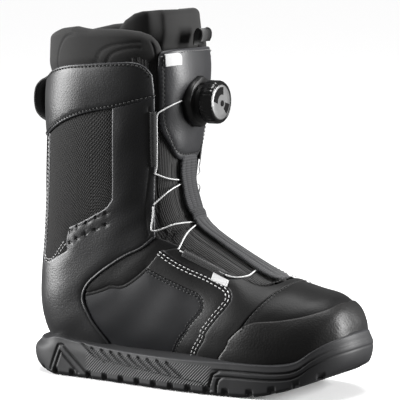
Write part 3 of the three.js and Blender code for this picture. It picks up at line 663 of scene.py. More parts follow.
def leather(name, dark, light, worn_and_lit, roughness, grain=900.0, strength=0.35, tint=COOL, sheen=0.08, specular=0.5):
    """Coated leather: pebbled grain, slow changes of tone, and paler edges, partly edge wear and partly a painted
    highlight.
    """
    g = Graph(name, Sheen_Weight=sheen, Sheen_Roughness=0.4, Specular_IOR_Level=specular)
    slow, fine = g.noise(22.0, 4.0), g.noise(grain * 2.6, 2.0)
    cells = g.node("TexVoronoi", {"Vector": g.place(), "Scale": grain}, feature="SMOOTH_F1")
    tone = g.times(g.plus(slow, g.times(cells, 0.5)), 0.75)
    colour = g.mix(tone, shade(dark, tint), shade(light, tint))
    # Painted highlight and edge wear: paler where the edge is marked.
    colour = g.marked("wear_and_highlight", 0.6, colour, shade(worn_and_lit, tint))
    # Painted shade: darker in the sewn grooves and punched holes marked as seam.
    colour = g.marked("seam", 0.75, colour, shade(dark * 0.35, tint))
    rough = g.plus(g.times(slow, 0.16), roughness - 0.08)
    height = g.plus(g.times(cells, -0.9), g.times(fine, 0.35))
    return g.finish(colour, rough, height, strength, 0.00035)


def diamond_mesh(name, dark, light, pitch):
    """An open diamond mesh: two sets of raised yarns over dark holes."""
    g = Graph(name, Sheen_Weight=0.06, Sheen_Roughness=0.5, Specular_IOR_Level=0.25)
    a, b = g.wave(pitch, (0.8, 1.0)), g.wave(pitch, (0.8, -1.0))
    yarn = g.math("MAXIMUM", g.math("POWER", a, 2.5), g.math("POWER", b, 2.5))
    fuzz = g.noise(2600.0, 2.0)
    tone = g.times(yarn, g.plus(g.times(fuzz, 0.6), 0.6), True)
    colour = g.mix(tone, shade(dark, WARM), shade(light, WARM))
    # Painted shade: darker where a sewn groove is marked as seam.
    colour = g.marked("seam", 0.7, colour, shade(dark * 0.4))
    return g.finish(colour, 0.72, g.plus(yarn, g.times(fuzz, 0.15)), 0.8, 0.0005)


def ribbed(name, dark, light, pitch, direction=(0.0, 1.0), tint=WARM):
    """A ribbed knit: rows of rounded ribs crossed by fine yarn."""
    g = Graph(name, Sheen_Weight=0.15, Sheen_Roughness=0.5)
    rib = g.wave(pitch, direction)
    yarn = g.wave(pitch * 0.55, (direction[1] + direction[0] * 0.4, direction[0] + direction[1] * 0.4))
    fuzz = g.noise(2200.0, 2.0)
    tone = g.times(rib, g.plus(g.times(yarn, 0.5), g.times(fuzz, 0.5)), True)
    colour = g.mix(tone, shade(dark, tint), shade(light, tint))
    # Painted highlight and wear: paler where the edge is marked.
    colour = g.marked("wear_and_highlight", 0.35, colour, shade(light * 1.25, tint))
    height = g.plus(rib, g.times(yarn, 0.35))
    return g.finish(colour, 0.8, height, 0.7, 0.00045)


def woven(name, dark, light, pitch, strength=0.7):
    """Plain woven webbing or cloth: crossing yarns in two directions."""
    g = Graph(name, Sheen_Weight=0.2, Sheen_Roughness=0.5)
    warp, weft = g.wave(pitch, (1.0, 0.0)), g.wave(pitch, (0.0, 1.0))
    check = g.math("ABSOLUTE", g.math("SUBTRACT", warp, weft))
    fuzz = g.noise(2800.0, 2.0)
    tone = g.times(check, g.plus(g.times(fuzz, 0.7), 0.55), True)
    colour = g.mix(tone, shade(dark), shade(light))
    return g.finish(colour, 0.8, g.plus(check, g.times(fuzz, 0.2)), strength, 0.0004)


def brushed_cloth(name, dark, light, tint=(1.0, 1.0, 1.0), sheen=0.35):
    """Soft brushed lining: fine fuzz with slow changes of tone."""
    g = Graph(name, Sheen_Weight=sheen, Sheen_Roughness=0.45)
    slow, fine = g.noise(30.0, 3.0), g.noise(1900.0, 4.0)
    colour = g.mix(g.times(g.plus(slow, fine), 0.5), shade(dark, tint), shade(light, tint))
    # Darker where marked as seam: the tongue's binding in its own dark colour, and painted shade along the collar's
    # sunk seams.
    colour = g.marked("seam", 0.7, colour, shade(dark * 0.4, tint))
    # Painted highlight and wear: paler where the edge is marked.
    colour = g.marked("wear_and_highlight", 0.3, colour, shade(light * 1.3, tint))
    return g.finish(colour, 0.86, fine, 0.6, 0.0003)


RIB_PITCH = 0.0026


def rubber(name, dark, light, worn_and_lit):
    """Moulded rubber with a fine matt skin; marked zones carry fine diagonal ribs."""
    g = Graph(name, Specular_IOR_Level=0.45)
    slow, fine = g.noise(28.0, 4.0), g.noise(1400.0, 3.0)
    x, _, z = g.split(g.place())
    slant = g.plus(g.times(x, 2 * PI / RIB_PITCH), g.times(z, -2 * PI / RIB_PITCH))
    rib = g.times(g.math("SINE", slant), g.mark("ribs"))
    colour = g.mix(g.times(g.plus(slow, fine), 0.5), shade(dark, COOL), shade(light, COOL))
    # Wear on the lugs, and a painted highlight along the top rim and lip: paler where marked.
    colour = g.marked("wear_and_highlight", 0.5, colour, shade(worn_and_lit, COOL))
    # Painted shade: the tread grooves and moulded side lines, marked as seam, are darkened.
    colour = g.marked("seam", 0.8, colour, shade(dark * 0.3, COOL))
    height = g.plus(g.times(rib, 0.9), g.times(fine, 0.3))
    return g.finish(colour, g.plus(g.times(slow, 0.2), 0.48), height, 0.6, 0.0004)


def plastic(name, grey, roughness, coat=0.0):
    """Moulded plastic with a faint texture and small changes of gloss."""
    g = Graph(name, Coat_Weight=coat, Coat_Roughness=0.12)
    fine, slow = g.noise(1600.0, 2.0), g.noise(60.0, 3.0)
    colour = g.mix(slow, shade(grey * 0.8), shade(grey * 1.2))
    return g.finish(colour, g.plus(g.times(slow, 0.14), roughness - 0.05), fine, 0.12, 0.0002)


def metal(name, grey, roughness):
    """Satin metal with fine scratches."""
    g = Graph(name, Metallic=0.9)
    stretch = g.node("Mapping", {"Vector": g.place(), "Scale": (1.0, 1.0, 40.0)})
    scratches = g.noise(300.0, 4.0, stretch)
    colour = g.mix(scratches, shade(grey * 0.82), shade(grey))
    return g.finish(colour, g.plus(g.times(scratches, 0.2), roughness - 0.1), scratches, 0.15, 0.0001)


def braid(name, dark, light):
    """A fine braided cable."""
    g = Graph(name, Metallic=0.25)
    strands = g.math("MAXIMUM", g.wave(1.5, (1.0, 1.2)), g.wave(1.5, (1.0, -1.2)))
    return g.finish(g.mix(strands, shade(dark), shade(light)), 0.42, strands, 0.6, 0.0002)


def thread(name, dark, light):
    """Sewing thread, lightly twisted."""
    g = Graph(name, Sheen_Weight=0.2)
    twist = g.noise(3500.0, 2.0)
    return g.finish(g.mix(twist, shade(dark), shade(light)), 0.6, twist, 0.4, 0.0002)


BLACK_SYNTHETIC = leather("black_synthetic", 10, 17, 46, 0.44, 1000.0, 0.3, (1.0, 0.99, 1.0), 0.03, 0.22)
BLUISH_SYNTHETIC = leather("bluish_synthetic", 20, 28, 50, 0.48, 1500.0, 0.16, (0.95, 0.98, 1.12), 0.02, 0.2)
RAND_LEATHER = leather("rand_leather", 8, 15, 46, 0.45, 700.0, 0.45, WARM, 0.03, 0.38)
GREY_LEATHER = leather("grey_leather", 13, 22, 64, 0.43, 800.0, 0.3, COOL, 0.05, 0.5)
PANEL_LEATHER = leather("panel_leather", 30, 40, 66, 0.42, 850.0, 0.3, COOL, 0.05, 0.42)
SIDE_MESH = diamond_mesh("side_mesh", 3, 30, 2.7)
GUSSET_KNIT = ribbed("gusset_knit", 6, 28, 2.2)
TONGUE_KNIT = ribbed("tongue_knit", 8, 30, 1.9)
SPINE_RIB = ribbed("spine_rib", 26, 60, 1.7, (1.0, 0.0), COOL)
LINER_CLOTH = brushed_cloth("liner_cloth", 8, 24, WARM, 0.05)
LINER_INNER = brushed_cloth("liner_inner", 12, 28, sheen=0.1)
OUTSOLE_RUBBER = rubber("outsole_rubber", 22, 34, 60)
WEBBING = woven("webbing_weave", 6, 30, 1.7)
GLOSS_PLASTIC = plastic("gloss_plastic", 5, 0.22, 0.15)
SATIN_PLASTIC = plastic("satin_plastic", 14, 0.38)
METAL_FACE = metal("metal_face_satin", 142, 0.4)
LACE_CABLE = braid("lace_cable", 150, 225)
WHITE_THREAD = thread("white_thread", 205, 240)
DARK_THREAD = thread("dark_thread", 5, 14)
GREY_THREAD = thread("grey_thread", 90, 130)
LABEL_CLOTH = woven("label_cloth", 190, 232, 0.8, 0.4)
FOAM = brushed_cloth("foam_skin", 40, 60)


# ---------------------------------------------------------------- sewn upper

UNDER = 2.75
RAND_TOP = [(2.04, 0), (2.46, .62), (3.14, .91), (4.17, 1.11), (5.04, 1.24), (5.64, 1.54), (6.0, 1.85), (6.3, UNDER)]
TOE_SEAM = [(4.4, 0), (4.45, .3), (4.7, .72), (5.1, 1.13), (5.35, 1.37)]
THROAT = [(4.6, 0), (4.7, .35), (5.02, .54), (5.77, .6), (6.69, .64), (7.99, .71), (9.81, .92)]
EYESTAY = [(9.81, .92), (10.36, .85), (11.76, .75), (13.77, .72), (15.45, .75), (16.52, .78)]
VAMP_SEAM = [(8.9, .95), (7.27, .88), (6.35, .83), (5.85, .86), (5.72, .97), (5.8, 1.1), (6.12, 1.36), (6.4, 1.59),
             (6.64, 1.86), (6.8, UNDER)]
BAND_SEAM = [(9.06, 1.22), (8.15, 1.17), (7.24, 1.13), (6.62, 1.13), (6.5, 1.25), (6.88, 1.56), (7.1, 1.71),
             (7.26, 2.0), (7.4, UNDER)]
HEEL_SEAM = [(9.81, .92), (9.98, 1.11), (10.51, 1.32), (10.93, 1.52), (11.1, 1.62), (11.0, 1.7), (10.11, 1.84),
             (9.51, 1.99), (9.1, 2.21), (8.84, UNDER)]
PATCH_SEAM = [(10.9, 1.71), (10.24, 1.58), (9.56, 1.5), (9.21, 1.34), (9.06, 1.22)]
BACK_LINE = [(13.3, 2.45), (12.27, 2.5), (11.43, 2.54), (10.7, UNDER)]
MESH_FRONT = [(13.6, 1.38), (13.45, 1.45), (13.55, 1.62), (13.68, 1.82)]
MESH_STEP = [(13.68, 1.82), (13.34, 1.85), (12.99, 1.83)]
MESH_BACK = [(12.99, 1.83), (13.06, 1.97), (13.3, 2.45)]
BAND_LOW = [(16.52, .78), (16.5, 1.15), (16.5, 1.37), (16.54, 1.58), (16.51, 1.85), (16.32, 2.45), (16.2, PI)]
BAND_TOP = [(17.5, PI), (17.61, 2.45), (17.72, 2.19), (17.78, 1.85), (17.72, 1.39), (17.64, 1.07), (17.48, .92),
            (17.23, .82)]
HIGH, MIDDLE, BASE, LOWEST = 0.3, -0.5, -1.0, -1.6
SEWN = 0.3
ROW, SECOND_ROW = 2.0, 4.7
PUNCHED = [(13.55, 1.80), (13.53, 1.70), (13.42, 1.60), (13.36, 1.54), (13.23, 1.44),
           (13.15, 1.78), (13.12, 1.69), (13.03, 1.60), (12.90, 1.54), (12.77, 1.44)]


def row_inside(seam, distance):
    """A sewn row beside a seam, distance mm to its left."""
    return offset(line(seam), distance)


def with_mirror(row, about=0.0):
    """A row and its mirror image about phi = about."""
    return [row, np.stack([row[:, 0], 2 * about - row[:, 1]], 1)]


def build_upper():
    """The toe, both sides, the back and the cuff's band."""
    rand = mirrored_half(np.concatenate([line(RAND_TOP)[:-1], line([(6.3, UNDER), (2, UNDER)])[:-1],
                                         line([(2, UNDER), (2, PI)])]))
    sheet("toe_rand_leather", RAND_LEATHER, rand, HIGH + 0.3, chart=Tip, edge=1.1, puff=0.5,
          grooves=[(row, 0.25, 0.6) for row in with_mirror(row_inside(RAND_TOP, -1.8))],
          waves=0.25, spacing=3.6, slot="synthetic", nodes=["toe_rand"])
    box_low = [(1.9, 0), (2.32, .64), (3.0, .95), (4.05, 1.17), (4.95, 1.32), (5.5, 1.6)]
    box_top = [(5.5, 1.44), (5.2, 1.17), (4.8, .75), (4.54, .3), (4.5, 0)]
    box = mirrored_half(np.concatenate([line(box_low)[:-1], line([box_low[-1], box_top[0]])[:-1], line(box_top)]))
    sheet("toe_box_leather", BLACK_SYNTHETIC, box, BASE, puff=1.4, waves=0.35,
          grooves=[(row, 0.3, 0.6) for row in with_mirror(row_inside(TOE_SEAM, -2.2))],
          slot="synthetic", nodes=["toe_box"])
    for name, side in SIDES.items():
        build_side(name, side)
    backstay = mirrored_half(np.concatenate([
        line([(10.7, PI), (10.7, UNDER)])[:-1], line(BACK_LINE[::-1])[:-1], line([(13.3, 2.45), (16.32, 2.45)])[:-1],
        line([(16.32, 2.45), (16.2, PI)])]), PI)
    sheet("backstay_leather", GREY_LEATHER, backstay, MIDDLE, puff=0.9, spread=1.5, waves=0.3,
          slot="synthetic", nodes=["backstay"])
    band = mirrored_half(np.concatenate([line(BAND_LOW[::-1])[:-1], line([(16.52, .78), (17.23, .82)])[:-1],
                                         line(BAND_TOP[::-1])]), PI)
    both = with_mirror(row_inside(BAND_LOW, -ROW), PI) + with_mirror(row_inside(BAND_TOP, -ROW), PI)
    sheet("cuff_band_leather", GREY_LEATHER, band, HIGH + 0.4, edge=0.9, puff=1.6,
          grooves=[(row, 0.35, 0.7) for row in both], waves=0.3, spacing=3.4,
          slot="grey_leather", nodes=["cuff_band"], fill=0.4)
    stitches("cuff_band_stitches", DARK_THREAD, both, HIGH + 1.15, radius=0.42)


def build_side(name, side):
    """The panels of one side, their stitches and their punched holes."""
    vamp = joined(TOE_SEAM, [(5.35, 1.37), *RAND_TOP[5:]], VAMP_SEAM[::-1], [(8.9, .95), (7.99, .71)],
                  THROAT[-2::-1], [(4.6, 0), (4.4, 0)])
    white = [row_inside(VAMP_SEAM, -ROW), row_inside(VAMP_SEAM, -SECOND_ROW)]
    toe_edge = row_inside(TOE_SEAM, 2.0)
    throat_row = row_inside(THROAT[:-1], -2.4)
    sheet(f"vamp_leather_{name}", BLACK_SYNTHETIC, vamp, HIGH, side=side, puff=0.7, edge=0.8,
          grooves=[(row, SEWN, 0.7) for row in (*white, toe_edge, throat_row)], waves=0.3,
          slot="synthetic", nodes=[f"vamp_{name}"])
    stitches(f"vamp_stitches_{name}", WHITE_THREAD, white, HIGH + 0.45, side, 4.2, 2.7)
    stitches(f"throat_stitches_{name}", DARK_THREAD, [throat_row, toe_edge], HIGH + 0.45, side, 3.4, 2.2, 0.28)
    quarter = joined(VAMP_SEAM, [(6.8, UNDER), (7.4, UNDER)], BAND_SEAM[::-1], [(9.06, 1.22), (8.9, .95)])
    dark = [row_inside(BAND_SEAM, -1.2), row_inside(BAND_SEAM, -3.6)]
    sheet(f"quarter_leather_{name}", BLACK_SYNTHETIC, quarter, MIDDLE, side=side, puff=0.6, spread=1.0,
          grooves=[(row, SEWN, 0.7) for row in dark], waves=0.3,
          slot="synthetic", nodes=[f"quarter_{name}"])
    stitches(f"quarter_stitches_{name}", DARK_THREAD, dark, MIDDLE + 0.4, side, length=2.4)
    panel = joined(BAND_SEAM, [(7.4, UNDER), (8.84, UNDER)], HEEL_SEAM[:-5:-1], [(10.11, 1.84), (10.9, 1.71)],
                   PATCH_SEAM)
    sheet(f"side_panel_leather_{name}", BLUISH_SYNTHETIC, panel, LOWEST, side=side, puff=1.6, spread=2.0,
          waves=0.4, low=-3.2, slot="synthetic", nodes=[f"side_panel_{name}"])
    patch = joined(HEEL_SEAM[:5], [(11.1, 1.62), PATCH_SEAM[0]], PATCH_SEAM, [(9.06, 1.22), (8.9, .95), (8.0, .72)],
                   [(8.0, .72), (9.81, .92)])
    patch_rows = [row_inside(PATCH_SEAM, 1.8)]
    sheet(f"ankle_patch_leather_{name}", BLACK_SYNTHETIC, patch, BASE, side=side, puff=0.8, spread=1.2,
          grooves=[(row, SEWN, 0.7) for row in patch_rows], waves=0.3,
          slot="synthetic", nodes=[f"ankle_patch_{name}"])
    overlay = joined(EYESTAY, [(16.52, .78), (16.5, 1.37)], [(16.5, 1.37), (13.6, 1.38)], MESH_FRONT, MESH_STEP,
                     MESH_BACK, BACK_LINE, [(10.7, UNDER), (8.84, UNDER)], HEEL_SEAM[::-1])
    heel_row = row_inside(HEEL_SEAM, -2.2)
    fold = line([(16.27, .87), (14.06, .83), (10.28, .97)])
    sheet(f"heel_overlay_leather_{name}", GREY_LEATHER, overlay, HIGH, side=side, puff=0.9, edge=0.9,
          grooves=[(heel_row, 0.5, 0.8), (fold, 0.6, 1.0)], spots=[(t, phi, 1.5) for t, phi in PUNCHED],
          waves=0.3, slot="grey_leather", nodes=[f"heel_overlay_{name}"])
    mesh = joined([(16.5, 1.37), (16.54, 1.58), (16.51, 1.85), (16.32, 2.45)], [(16.32, 2.45), (13.3, 2.45)],
                  MESH_BACK[::-1], MESH_STEP[::-1], MESH_FRONT[::-1], [(13.6, 1.38), (16.5, 1.37)])
    sheet(f"mesh_cloth_{name}", SIDE_MESH, mesh, LOWEST, side=side, puff=1.4, spread=2.0, low=-3.2,
          slot="textile", nodes=[f"mesh_panel_{name}"])
    ankle_rows = [line([(16.2, 2.4), (14.8, 2.42), (13.5, 2.38), (13.15, 2.1), (13.34, 1.9)])]
    ankle_rows.append(offset(ankle_rows[0], -2.6))
    stitches(f"mesh_stitches_{name}", WHITE_THREAD, ankle_rows, 0.3, side, radius=0.28)


# ---------------------------------------------------------------- sole

SOLE_HEEL, SOLE_TOE = -156.0, 153.0
HEEL_CENTRE, BALL_CENTRE = -112.0, 60.0
HEEL_HALF, BALL_HALF = 42.0, 58.0
UNDERSIDE = [(-156, 7), (-148, 2), (-138, 0), (62, 0), (85, 2), (105, 7), (122, 13), (138, 21), (153, 33)]
EDGE_TOP = [(-156, 28), (-146, 28), (-134, 28.5), (-118, 32), (-100, 30), (-60, 27), (0, 26), (60, 27), (104, 28),
            (116, 31), (128, 40), (140, 47), (153, 52)]
TREAD_DEPTH, TREAD_GROOVE = 3.0, 4.0
HEEL_ROUNDING, TOE_ROUNDING, FOOT_CHAMFER = 12.0, 8.0, 2.6
FLAT_TREAD, SPINE_ENDS = (-138, 62), (-116, 96)
SIPE_PLACE, SIPE_WIDTH = 13, 1.3
HEEL_POWER, TOE_POWER = 2.2, 2.4
TREAD_PLACES = [-135 + 17.4 * k for k in range(12)] + [78, 97, 116, 134]


def height_at(x, points):
    """The height at x of a smooth line through the given (x, z) points."""
    dense_line = through([(x, 0, z) for x, z in points], 400)
    return np.interp(x, dense_line[:, 0], dense_line[:, 2])


def underside(x):
    flat = (x > FLAT_TREAD[0]) & (x < FLAT_TREAD[1])
    return np.where(flat, 0.0, np.maximum(height_at(x, UNDERSIDE), 0.0))


def half_width(x):
    """Half the sole's width at x."""
    x = np.clip(x, SOLE_HEEL, SOLE_TOE)
    past_heel = np.maximum(HEEL_CENTRE - x, 0) / (HEEL_CENTRE - SOLE_HEEL)
    past_ball = np.maximum(x - BALL_CENTRE, 0) / (SOLE_TOE - BALL_CENTRE)
    heel = HEEL_HALF * np.maximum(1 - past_heel**HEEL_POWER, 0) ** (1 / HEEL_POWER)
    toe = BALL_HALF * np.maximum(1 - past_ball**TOE_POWER, 0) ** (1 / TOE_POWER)
    u = np.clip((x - HEEL_CENTRE) / (BALL_CENTRE - HEEL_CENTRE), 0, 1)
    waist = HEEL_HALF + (BALL_HALF - HEEL_HALF) * smooth(0, 1, u) + 2 * np.sin(PI * u)
    return np.where(x < HEEL_CENTRE, heel, np.where(x > BALL_CENTRE, toe, waist))


def sole_middle(x):
    """Y of the sole's middle line, which leans inwards towards the toe."""
    return 4 * smooth(-20, 130, x)


def sole_outline(count):
    """Plan points round the sole, evenly spaced, from the heel along the lateral side."""
    turn = np.linspace(0, PI, 4000)
    x = (SOLE_HEEL + SOLE_TOE) / 2 - (SOLE_TOE - SOLE_HEEL) / 2 * np.cos(turn)
    lateral, medial = (np.stack([x, sole_middle(x) + side * half_width(x)], 1) for side in (-1, 1))
    loop = np.concatenate([lateral, medial[::-1][1:]])
    return spaced(loop, summed(gaps(loop)), count, False)


def stroke(x, z, points, width):
    """How close side points are to a drawn line of (x, z) points: 1 on it, 0 past its width."""
    best = np.full(x.shape, 1e9)
    for (x0, z0), (x1, z1) in zip(points[:-1], points[1:]):
        dx, dz = x1 - x0, z1 - z0
        u = np.clip(((x - x0) * dx + (z - z0) * dz) / (dx * dx + dz * dz), 0, 1)
        best = np.minimum(best, np.hypot(x - x0 - u * dx, z - z0 - u * dz))
    return np.exp(-((best / width) ** 4))


SLASHES = [(-91, 30), (-80, 26), (-69.5, 25.5), (-59.5, 25), (-50, 24.5), (-40, 24), (-30, 23.5), (-20, 23),
           (-10, 23), (0, 22.5)]


def side_relief(x, z, top):
    """How deep the sole's moulded side lines are at each point, 0 to 1."""
    cuts = stroke(x, z, [(-124, 4), (-114.5, 26), (-110, 26), (-84, 4)], 0.9)
    cuts = np.maximum(cuts, stroke(x, z, [(-119, 4), (-112.5, 20.5), (-94, 4)], 0.8))
    for start, level in SLASHES:
        cuts = np.maximum(cuts, stroke(x, z, [(start, level), (start + 15, level - 10)], 0.95))
    shelf = stroke(x, z, [(-90, 29), (-72, 17.5), (-40, 14.5), (0, 11.5), (34, 9), (44, 4)], 0.7) * 0.6
    fore = smooth(42, 52, x)
    double = np.zeros(x.shape)
    for drop in (6.0, 11.2):
        double = np.maximum(double, np.exp(-(((top - drop - z) / 0.85) ** 4)) * fore)
    double = double * (1 - 0.75 * smooth(110, 148, x))
    bend = stroke(x, z, [(52, 21), (45, 17), (42, 8), (42, 3)], 0.85)
    bend = np.maximum(bend, stroke(x, z, [(54, 15.6), (50, 13), (48.5, 8), (48.5, 3)], 0.8))
    return np.maximum(np.maximum(cuts, shelf), np.maximum(double, bend))


def tread(x, scale=1.0):
    """1 in the cross grooves of the tread, 0 on its lugs."""
    mask = np.zeros(np.shape(x))
    for place in TREAD_PLACES:
        away = np.abs(x - place)
        mask = np.maximum(mask, 1 - smooth(TREAD_GROOVE * 0.36 * scale, TREAD_GROOVE * 0.7 * scale, away))
    return mask


def build_outsole():
    """One closed ring of columns round the sole: underside, edge, side, lip and inner shelf."""
    plan = sole_outline(820)
    tangent = np.roll(plan, -1, 0) - np.roll(plan, 1, 0)
    outward = unit(np.stack([tangent[:, 1], -tangent[:, 0]], 1))
    x = plan[:, 0]
    heel, toe = smooth(-118, -148, x), smooth(118, 150, x)
    rounding = HEEL_ROUNDING * heel + TOE_ROUNDING * toe
    lean = 1.2 + 4.5 * heel + 2.0 * toe
    rim = plan - outward * (FOOT_CHAMFER + rounding)[:, None]
    low = underside(rim[:, 0])
    top = np.maximum(height_at(x, EDGE_TOP), low + 6)
    spine = np.stack([np.clip(x, *SPINE_ENDS), sole_middle(x)], 1)
    rows, wear_and_highlight, seam, ribs = [], [], [], []

    # The fourth value is painted shade: how much the tread grooves and moulded side lines are darkened.
    def add(xy, z, worn_and_lit=0.0, cut=0.0, rib=0.0):
        rows.append(np.stack([xy[:, 0], xy[:, 1], z], 1))
        for store, value in ((wear_and_highlight, worn_and_lit), (seam, cut), (ribs, rib)):
            store.append(np.broadcast_to(value, x.shape).astype(float))

    for share in np.r_[0.0, np.linspace(0.06, 0.88, 15)]:
        xy = spine + (rim - spine) * share
        groove = tread(xy[:, 0])
        sipe = np.exp(-(((np.abs(xy[:, 1] - spine[:, 1]) - SIPE_PLACE) / SIPE_WIDTH) ** 4)) * 0.45
        lift = np.maximum(groove, sipe) * TREAD_DEPTH
        add(xy, underside(xy[:, 0]) + lift, 0.2 * (1 - groove), groove * 0.6)
    for share in np.linspace(0.92, 0.99, 4):
        xy = spine + (rim - spine) * share
        groove = tread(xy[:, 0])
        add(xy, underside(xy[:, 0]) + groove * TREAD_DEPTH * 1.2, 0.2, groove * 0.6)
    height = top - low
    for share in np.linspace(0.0, 1.0, 40):
        z = low + height * share
        notch = tread(x, 1.1) * (1 - smooth(3.0, 7.5, z - low))
        chamfer = FOOT_CHAMFER * (1 - smooth(0, 0.14, share)) ** 2
        chamfer = chamfer + rounding * (1 - math.sqrt(1 - max(1 - share / 0.6, 0) ** 2))
        taper = lean * smooth(0.6, 1.0, share) ** 2
        # The depth of the side lines also darkens them, as painted shade.
        relief = side_relief(x, z, top)
        inset = chamfer + taper + relief * 1.3 + notch * 2.6
        rise = tread(x) * TREAD_DEPTH * 1.2 * (1 - smooth(0.0, 0.12, share))
        zone = smooth(-88, -80, x) * (1 - smooth(36, 46, x)) * smooth(low + 6, low + 8, z)
        zone = zone * (1 - smooth(top - 3.5, top - 2.5, z))
        # Just below the top, the side is marked paler: partly wear, partly a painted highlight along the rim.
        add(plan - outward * inset[:, None], z + rise, 0.35 * np.exp(-((share - 0.985) / 0.03) ** 2), relief, zone)
    lip = lean[:, None]
    # The lip's outer rim is marked paler: partly wear, partly a painted highlight.
    for inset, rise in ((0.5, 0.5), (1.1, 0.8), (2.0, 1.1), (4.0, 2.0), (8.0, 4.0), (14.0, 5.0)):
        add(plan - outward * (lip + inset), top + rise, 0.5 if inset < 1.5 else 0.0)
    grid_piece("outsole_rubber", OUTSOLE_RUBBER, np.array(rows), True, flip=True,
               marks={"wear_and_highlight": wear_and_highlight, "seam": seam, "ribs": ribs}, slot="rubber", nodes=["outsole"])


# ---------------------------------------------------------------- tongue, gussets and spine

UV_T = 28


def build_tongue():
    """The tongue's knit, its padded panel and the ribbed spine, then the knit, the hinge and the gussets beside them.
    """
    lower = mirrored_half(line([(4.9, 0), (5.1, .42), (5.8, .55), (7.8, .68), (8.9, .72), (8.9, 0)]))
    rib_lines = [line([(5.6, phi), (8.6, phi * 1.15)]) for phi in (.27, .36, -.27, -.36)]
    sheet("tongue_knit_lower", TONGUE_KNIT, lower, -4.8, low=-6.6, puff=1.2,
          grooves=[(row, 0.7, 1.1) for row in rib_lines], slot="textile", nodes=["tongue_lower"], fill=0.4)
    edge = [(9.3, .74), (10.36, .76), (11.76, .68), (13.77, .65), (15.45, .68), (16.52, .7), (17.9, .72)]
    upper = mirrored_half(np.concatenate([line([(9.35, 0), (9.35, .74)])[:-1], line(edge)[:-1],
                                          line([(17.9, .72), (17.9, 0)])]))
    rib_lines = [line([(9.7, phi * 1.1), (13.6, phi)]) for phi in (.24, .33, -.24, -.33)]
    sheet("tongue_knit_upper", TONGUE_KNIT, upper, -4.8, low=-6.6, puff=1.0,
          grooves=[(row, 0.7, 1.1) for row in rib_lines],
          slot="textile", body="tongue", nodes=["tongue_upper"], fill=0.4)
    panel = mirrored_half(line([(13.7, 0), (13.72, .12), (13.9, .24), (14.7, .45), (15.45, .64), (16.52, .69),
                                (17.5, .71), (17.84, .66), (17.9, .5), (17.9, 0)]))
    seam = line([(14.0, 0), (14.05, .14), (14.25, .27), (14.95, .44), (15.65, .58), (16.55, .62), (17.6, .63)])
    rows = with_mirror(seam)
    sheet("tongue_panel_leather", PANEL_LEATHER, panel, -0.6, low=-4.6, edge=1.4, puff=1.3,
          grooves=[(row, 0.35, 0.7) for row in rows], waves=0.3,
          slot="grey_leather", body="tongue", nodes=["tongue_panel"], fill=0.5)
    stitches("tongue_panel_stitches", DARK_THREAD, rows, 0.6, body="tongue")
    rim = line([(17.78, -.66), (17.84, -.4), (17.84, .4), (17.78, .66)])
    stitches("tongue_top_stitches", GREY_THREAD, [offset(rim, 1.2)], 0.4, pitch=3.4, length=2.2, body="tongue")
    spine = mirrored_half(line([(9.4, 0), (9.42, .1), (9.6, .165), (11.8, .16), (13.7, .15), (13.9, .12), (13.95, 0)]))
    sheet("tongue_spine_rib_upper", SPINE_RIB, spine, 0.7, low=-1.6, edge=1.4, puff=0.6, spacing=2.4,
          grooves=[(line([(9.7, s), (13.6, s)]), 0.45, 0.5) for s in (.085, 0, -.085)],
          slot="synthetic", body="tongue", nodes=["tongue_spine_upper"])
    spine = mirrored_half(line([(4.75, 0), (4.78, .12), (4.95, .2), (7.0, .19), (8.7, .165), (8.9, .1), (8.95, 0)]))
    sheet("tongue_spine_rib_lower", SPINE_RIB, spine, 0.5, low=-1.6, edge=1.3, puff=0.6, spacing=2.4,
          grooves=[(line([(5.1, s), (8.7, s)]), 0.45, 0.5) for s in (.1, 0, -.1)],
          slot="synthetic", nodes=["tongue_spine_lower"])
    build_ankle_fold()
    for name, side in SIDES.items():
        build_gusset(name, side)


def build_ankle_fold():
    """The folded knit at the tongue's joint, and the spine's hinge bump."""
    t, phi = patch(8.3, 10.1, 25, -.85, .85, 70)
    fold = 0.5 * np.sin((t - 8.3) / 1.8 * PI * 3)
    height = -5.6 + fold - 1.6 * smooth(.6, .85, np.abs(phi)) - 2.2 * (smooth(8.75, 8.3, t) + smooth(9.6, 10.1, t))
    grid_piece("ankle_fold_knit", GUSSET_KNIT, at(t, phi, height), uv=np.stack([t * UV_T, phi * 50], -1),
               thickness=0.9, slot="textile", bend=("root", "tongue", world(at(8.7, 0, -5)), world(at(9.6, 0, -5))))
    t, phi = patch(8.65, 9.75, 24, -.17, .17, 17)
    across = np.abs(phi) / .17
    height = 0.5 + 1.3 * np.sin((t - 8.65) / 1.1 * PI) ** 2 - 2.2 * across**4 - 0.5 * np.abs(np.sin((t - 8.65) * 17))
    # Paler towards its sides: partly wear, partly a painted highlight on the rounded edges.
    grid_piece("spine_hinge_rib", SPINE_RIB, at(t, phi, height), uv=np.stack([t * UV_T, phi * 50], -1),
               marks={"wear_and_highlight": across**3}, thickness=1.2, slot="synthetic",
               bend=("root", "tongue", world(at(8.8, 0, 0)), world(at(9.6, 0, 0))))


